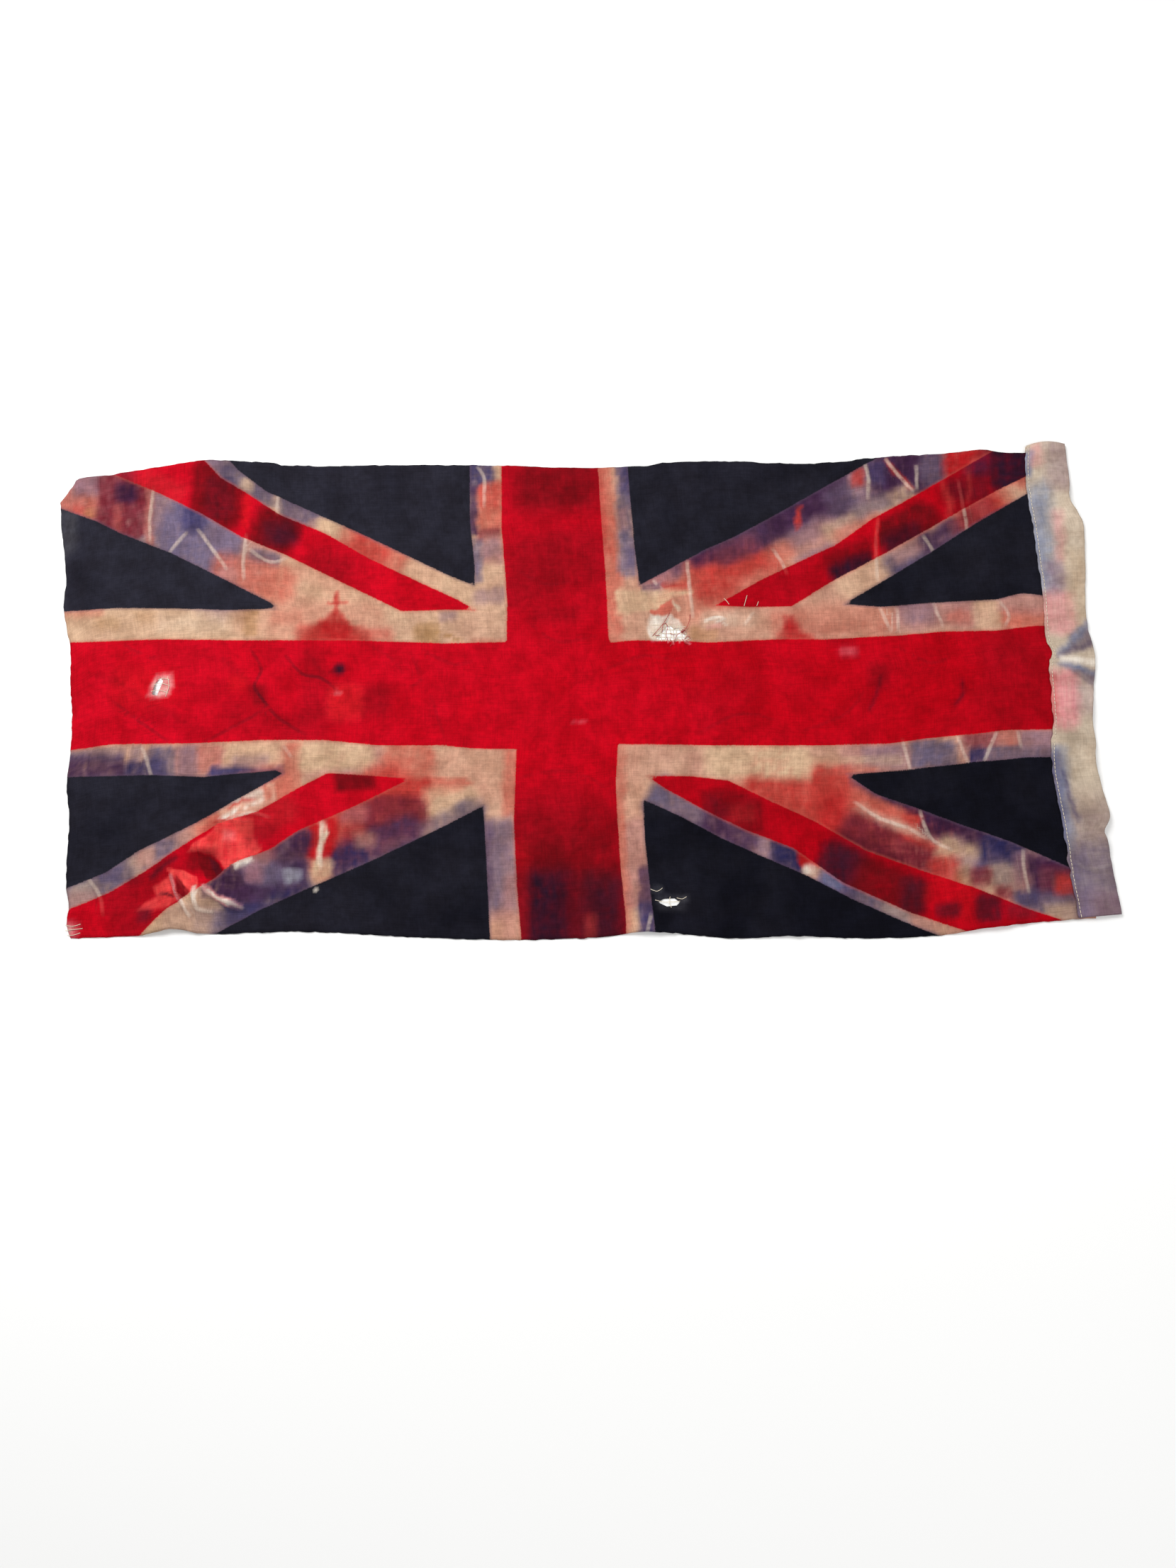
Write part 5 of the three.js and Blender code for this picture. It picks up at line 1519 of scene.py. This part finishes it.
@dataclass
class LooseThreads:
    """Yarns pulled loose at the torn place, the worn spot and the frayed lower corner."""

    fly: Fly
    radius: float = 0.26

    def curl(self, points: Points, rise: float = 2.5, steps: int = 22) -> list[Vector]:
        """Lays one yarn along a curve, standing a little off the cloth in the middle."""
        shares = np.linspace(0, 1, steps)
        line = Route(points).at(shares)
        ground = self.fly.lift(line)
        arch = 0.45 + rise * np.sin(math.pi * shares)
        return [Vector((x, y, z + up)) for (x, y), z, up in zip(line, ground, arch)]

    def tear_runs(self) -> list[Points]:
        """Gives the dyed yarns of the torn place: strands across it, a loop, a knot and frayed ends."""
        return [
            ((86, 67.5), (82, 60), (76, 52), (69.5, 45)), ((78.7, 48), (79.3, 55), (82, 58)),
            ((82, 58), (84, 53.6), (82.7, 46.7), (84, 41)),
            ((105.5, 66), (104.7, 60), (102, 53), (98, 48.5)),
            ((100, 51), (93.3, 46), (90.7, 41), (90, 38.3)), ((86, 48), (89, 46), (92, 46)),
            ((72, 46), (75, 45), (77, 46)),
            ((97, 50), (99, 47), (101, 50), (98, 51), (97, 48)),
            ((100, 42), (103, 45), (105, 42), (101, 40), (104, 39)),
            ((86, 42), (88, 38), (86, 35)), ((98, 42), (100, 38), (103, 37)),
        ]

    def lattice_runs(self) -> list[Points]:
        """Gives the thin pale yarns left across the torn place, warp and weft."""
        foot_line = ((70, 42), (78, 41), (86, 41), (94, 43), (101, 43))
        head_line = ((74, 51), (80, 55), (87, 57), (95, 55), (102, 48))
        across = [((69, 45 + 3.6 * i), (84, 44 + 3.8 * i), (102, 44.6 + 3.2 * i)) for i in range(4)]
        up = []
        for i in range(9):
            x, lean = 71 + 3.7 * i, 1.2 * math.sin(i * 1.9)
            foot, head = (np.interp(x, *np.array(ends, float).T) for ends in (foot_line, head_line))
            middle = float(foot + head) / 2
            up.append(((x, float(foot) - 1), (x + lean, middle), (x - lean, float(head) + 1)))
        return [*across, *up]

    def edge_runs(self) -> list[Points]:
        """Gives the yarns of the frayed corner, the worn spot and the small hole in the navy."""
        return [
            ((-456, -226), (-463, -228), (-470, -227)), ((-454, -230), (-462, -231), (-470, -232)),
            ((-456, -234), (-462, -236), (-468, -236)), ((-388, -14), (-386, -4), (-388, 6)),
            ((-402, -9), (-394, -8), (-386, -10)), ((-400, -2), (-393, -1), (-385, -3)),
            ((-397, 3), (-392, 4), (-386, 3)),
            ((70, -204), (80, -206), (93, -205)), ((84, -201), (83, -206), (85, -211)),
            ((138, 82), (140.5, 79), (142.7, 76)), ((160, 85), (158.5, 80), (157, 74.5)),
            ((170.7, 79), (170, 77), (169, 74.5)),
            ((66, -194), (72, -196), (77, -193)),
            ((90, -202), (95, -203), (99, -201)),
        ]

    def build(self, material: bpy.types.Material) -> bpy.types.Object:
        """Makes the pale yarns as one mesh: what is left across the torn place, and the frayed edges."""
        runs = [self.curl(points, -0.2) for points in self.lattice_runs()]
        runs += [self.curl(points, 0.6) for points in self.edge_runs()]
        return spin_thread("loose_yarns", runs, self.radius, material)

    def build_dyed(self, material: bpy.types.Material) -> bpy.types.Object:
        """Makes the reddened yarns of the torn place as one mesh."""
        return spin_thread("dyed_yarns", [self.curl(points, 1.6) for points in self.tear_runs()],
                           self.radius, material)


# ---- The studio ----------------------------------------------------------------------------------------
@dataclass(frozen=True)
class Lamp:
    """A soft box: where it hangs, how wide it is and how strong, all in metres and watts."""

    name: str
    at: tuple[float, float, float]
    wide: float
    watts: float

    def hang(self) -> None:
        """Adds the lamp, facing the flag."""
        light = bpy.data.lights.new(self.name, "AREA")
        light.shape = "DISK"
        light.size = self.wide
        light.energy = self.watts
        lamp = bpy.data.objects.new(self.name, light)
        lamp.location = self.at
        lamp.rotation_euler = Vector(self.at).to_track_quat("Z", "Y").to_euler()
        bpy.context.scene.collection.objects.link(lamp)


@dataclass(frozen=True)
class Studio:
    """A pale floor, soft boxes and the camera almost straight above, tipped back towards the lower edge."""

    aim: tuple[float, float, float] = (0.0085, -0.0963, 0.0)
    tilt: float = 8.0
    distance: float = 1.096
    sensor: float = 36.0
    lens: float = 27.0
    floor_size: float = 3.0
    floor_colour: str = "FCFCFB"
    sky: float = 0.47
    lamps: tuple[Lamp, ...] = (
        Lamp("key_box", (-0.9, 0.9, 1.5), 1.0, 30.0),
        Lamp("fill_box", (1.1, -0.5, 1.7), 1.4, 11.0),
    )

    def lay_floor(self) -> bpy.types.Object:
        """Lays the floor just under the flag."""
        bm = bmesh.new()
        bmesh.ops.create_grid(bm, x_segments=1, y_segments=1, size=self.floor_size)
        material = bpy.data.materials.new("pale_paper_floor")
        material.use_nodes = True
        tree = material.node_tree
        shader = tree.nodes["Principled BSDF"]
        shader.inputs["Base Color"].default_value = linear(self.floor_colour)
        shader.inputs["Roughness"].default_value = 0.9
        floor = finish_mesh("floor", bm, material)
        return floor

    def set_up(self) -> None:
        """Adds the floor, the lamps, the sky and the camera."""
        self.lay_floor()
        for lamp in self.lamps:
            lamp.hang()
        scene = bpy.context.scene
        scene.view_settings.view_transform = "Standard"
        scene.world = bpy.data.worlds.new("studio_sky")
        scene.world.use_nodes = True
        sky = scene.world.node_tree.nodes["Background"]
        sky.inputs["Color"].default_value = linear("FFFFFF")
        sky.inputs["Strength"].default_value = self.sky
        lens = bpy.data.cameras.new("camera")
        lens.sensor_width = self.sensor
        lens.lens = self.lens
        camera = bpy.data.objects.new("camera", lens)
        back = math.radians(self.tilt)
        offset = Vector((0, -math.sin(back), math.cos(back))) * self.distance
        camera.location = Vector(self.aim) + offset
        camera.rotation_euler = (back, 0, 0)
        scene.collection.objects.link(camera)
        scene.camera = camera


def main() -> None:
    """Builds the studio and the pieces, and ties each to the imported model."""
    logging.basicConfig(level=logging.INFO, format="%(name)s: %(message)s")
    Studio().set_up()
    fly, heading = Fly(), Heading()
    bunting, tape, thread = PrintedBunting().make(), CottonTape().make(), SpunThread().make()
    dyed_thread = SpunThread("red_stained_cotton_yarn", "B8504C", "8C3034").make()
    panel = fly.build(bunting)
    strip = heading.build(tape)
    stitches = Stitching(heading).build(thread)
    loose = LooseThreads(fly)
    yarns, dyed_yarns = loose.build(thread), loose.build_dyed(dyed_thread)
    for piece, slot in ((panel, "printed_cloth"), (strip, "heading_cotton"), (stitches, "thread"),
                        (yarns, "thread"), (dyed_yarns, "thread")):
        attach(piece, ROOT)
        log.info("%s: %d faces", piece.name, len(piece.data.polygons))
    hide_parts("fly")
    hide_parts("heading")


if __name__ == "__main__":
    main()
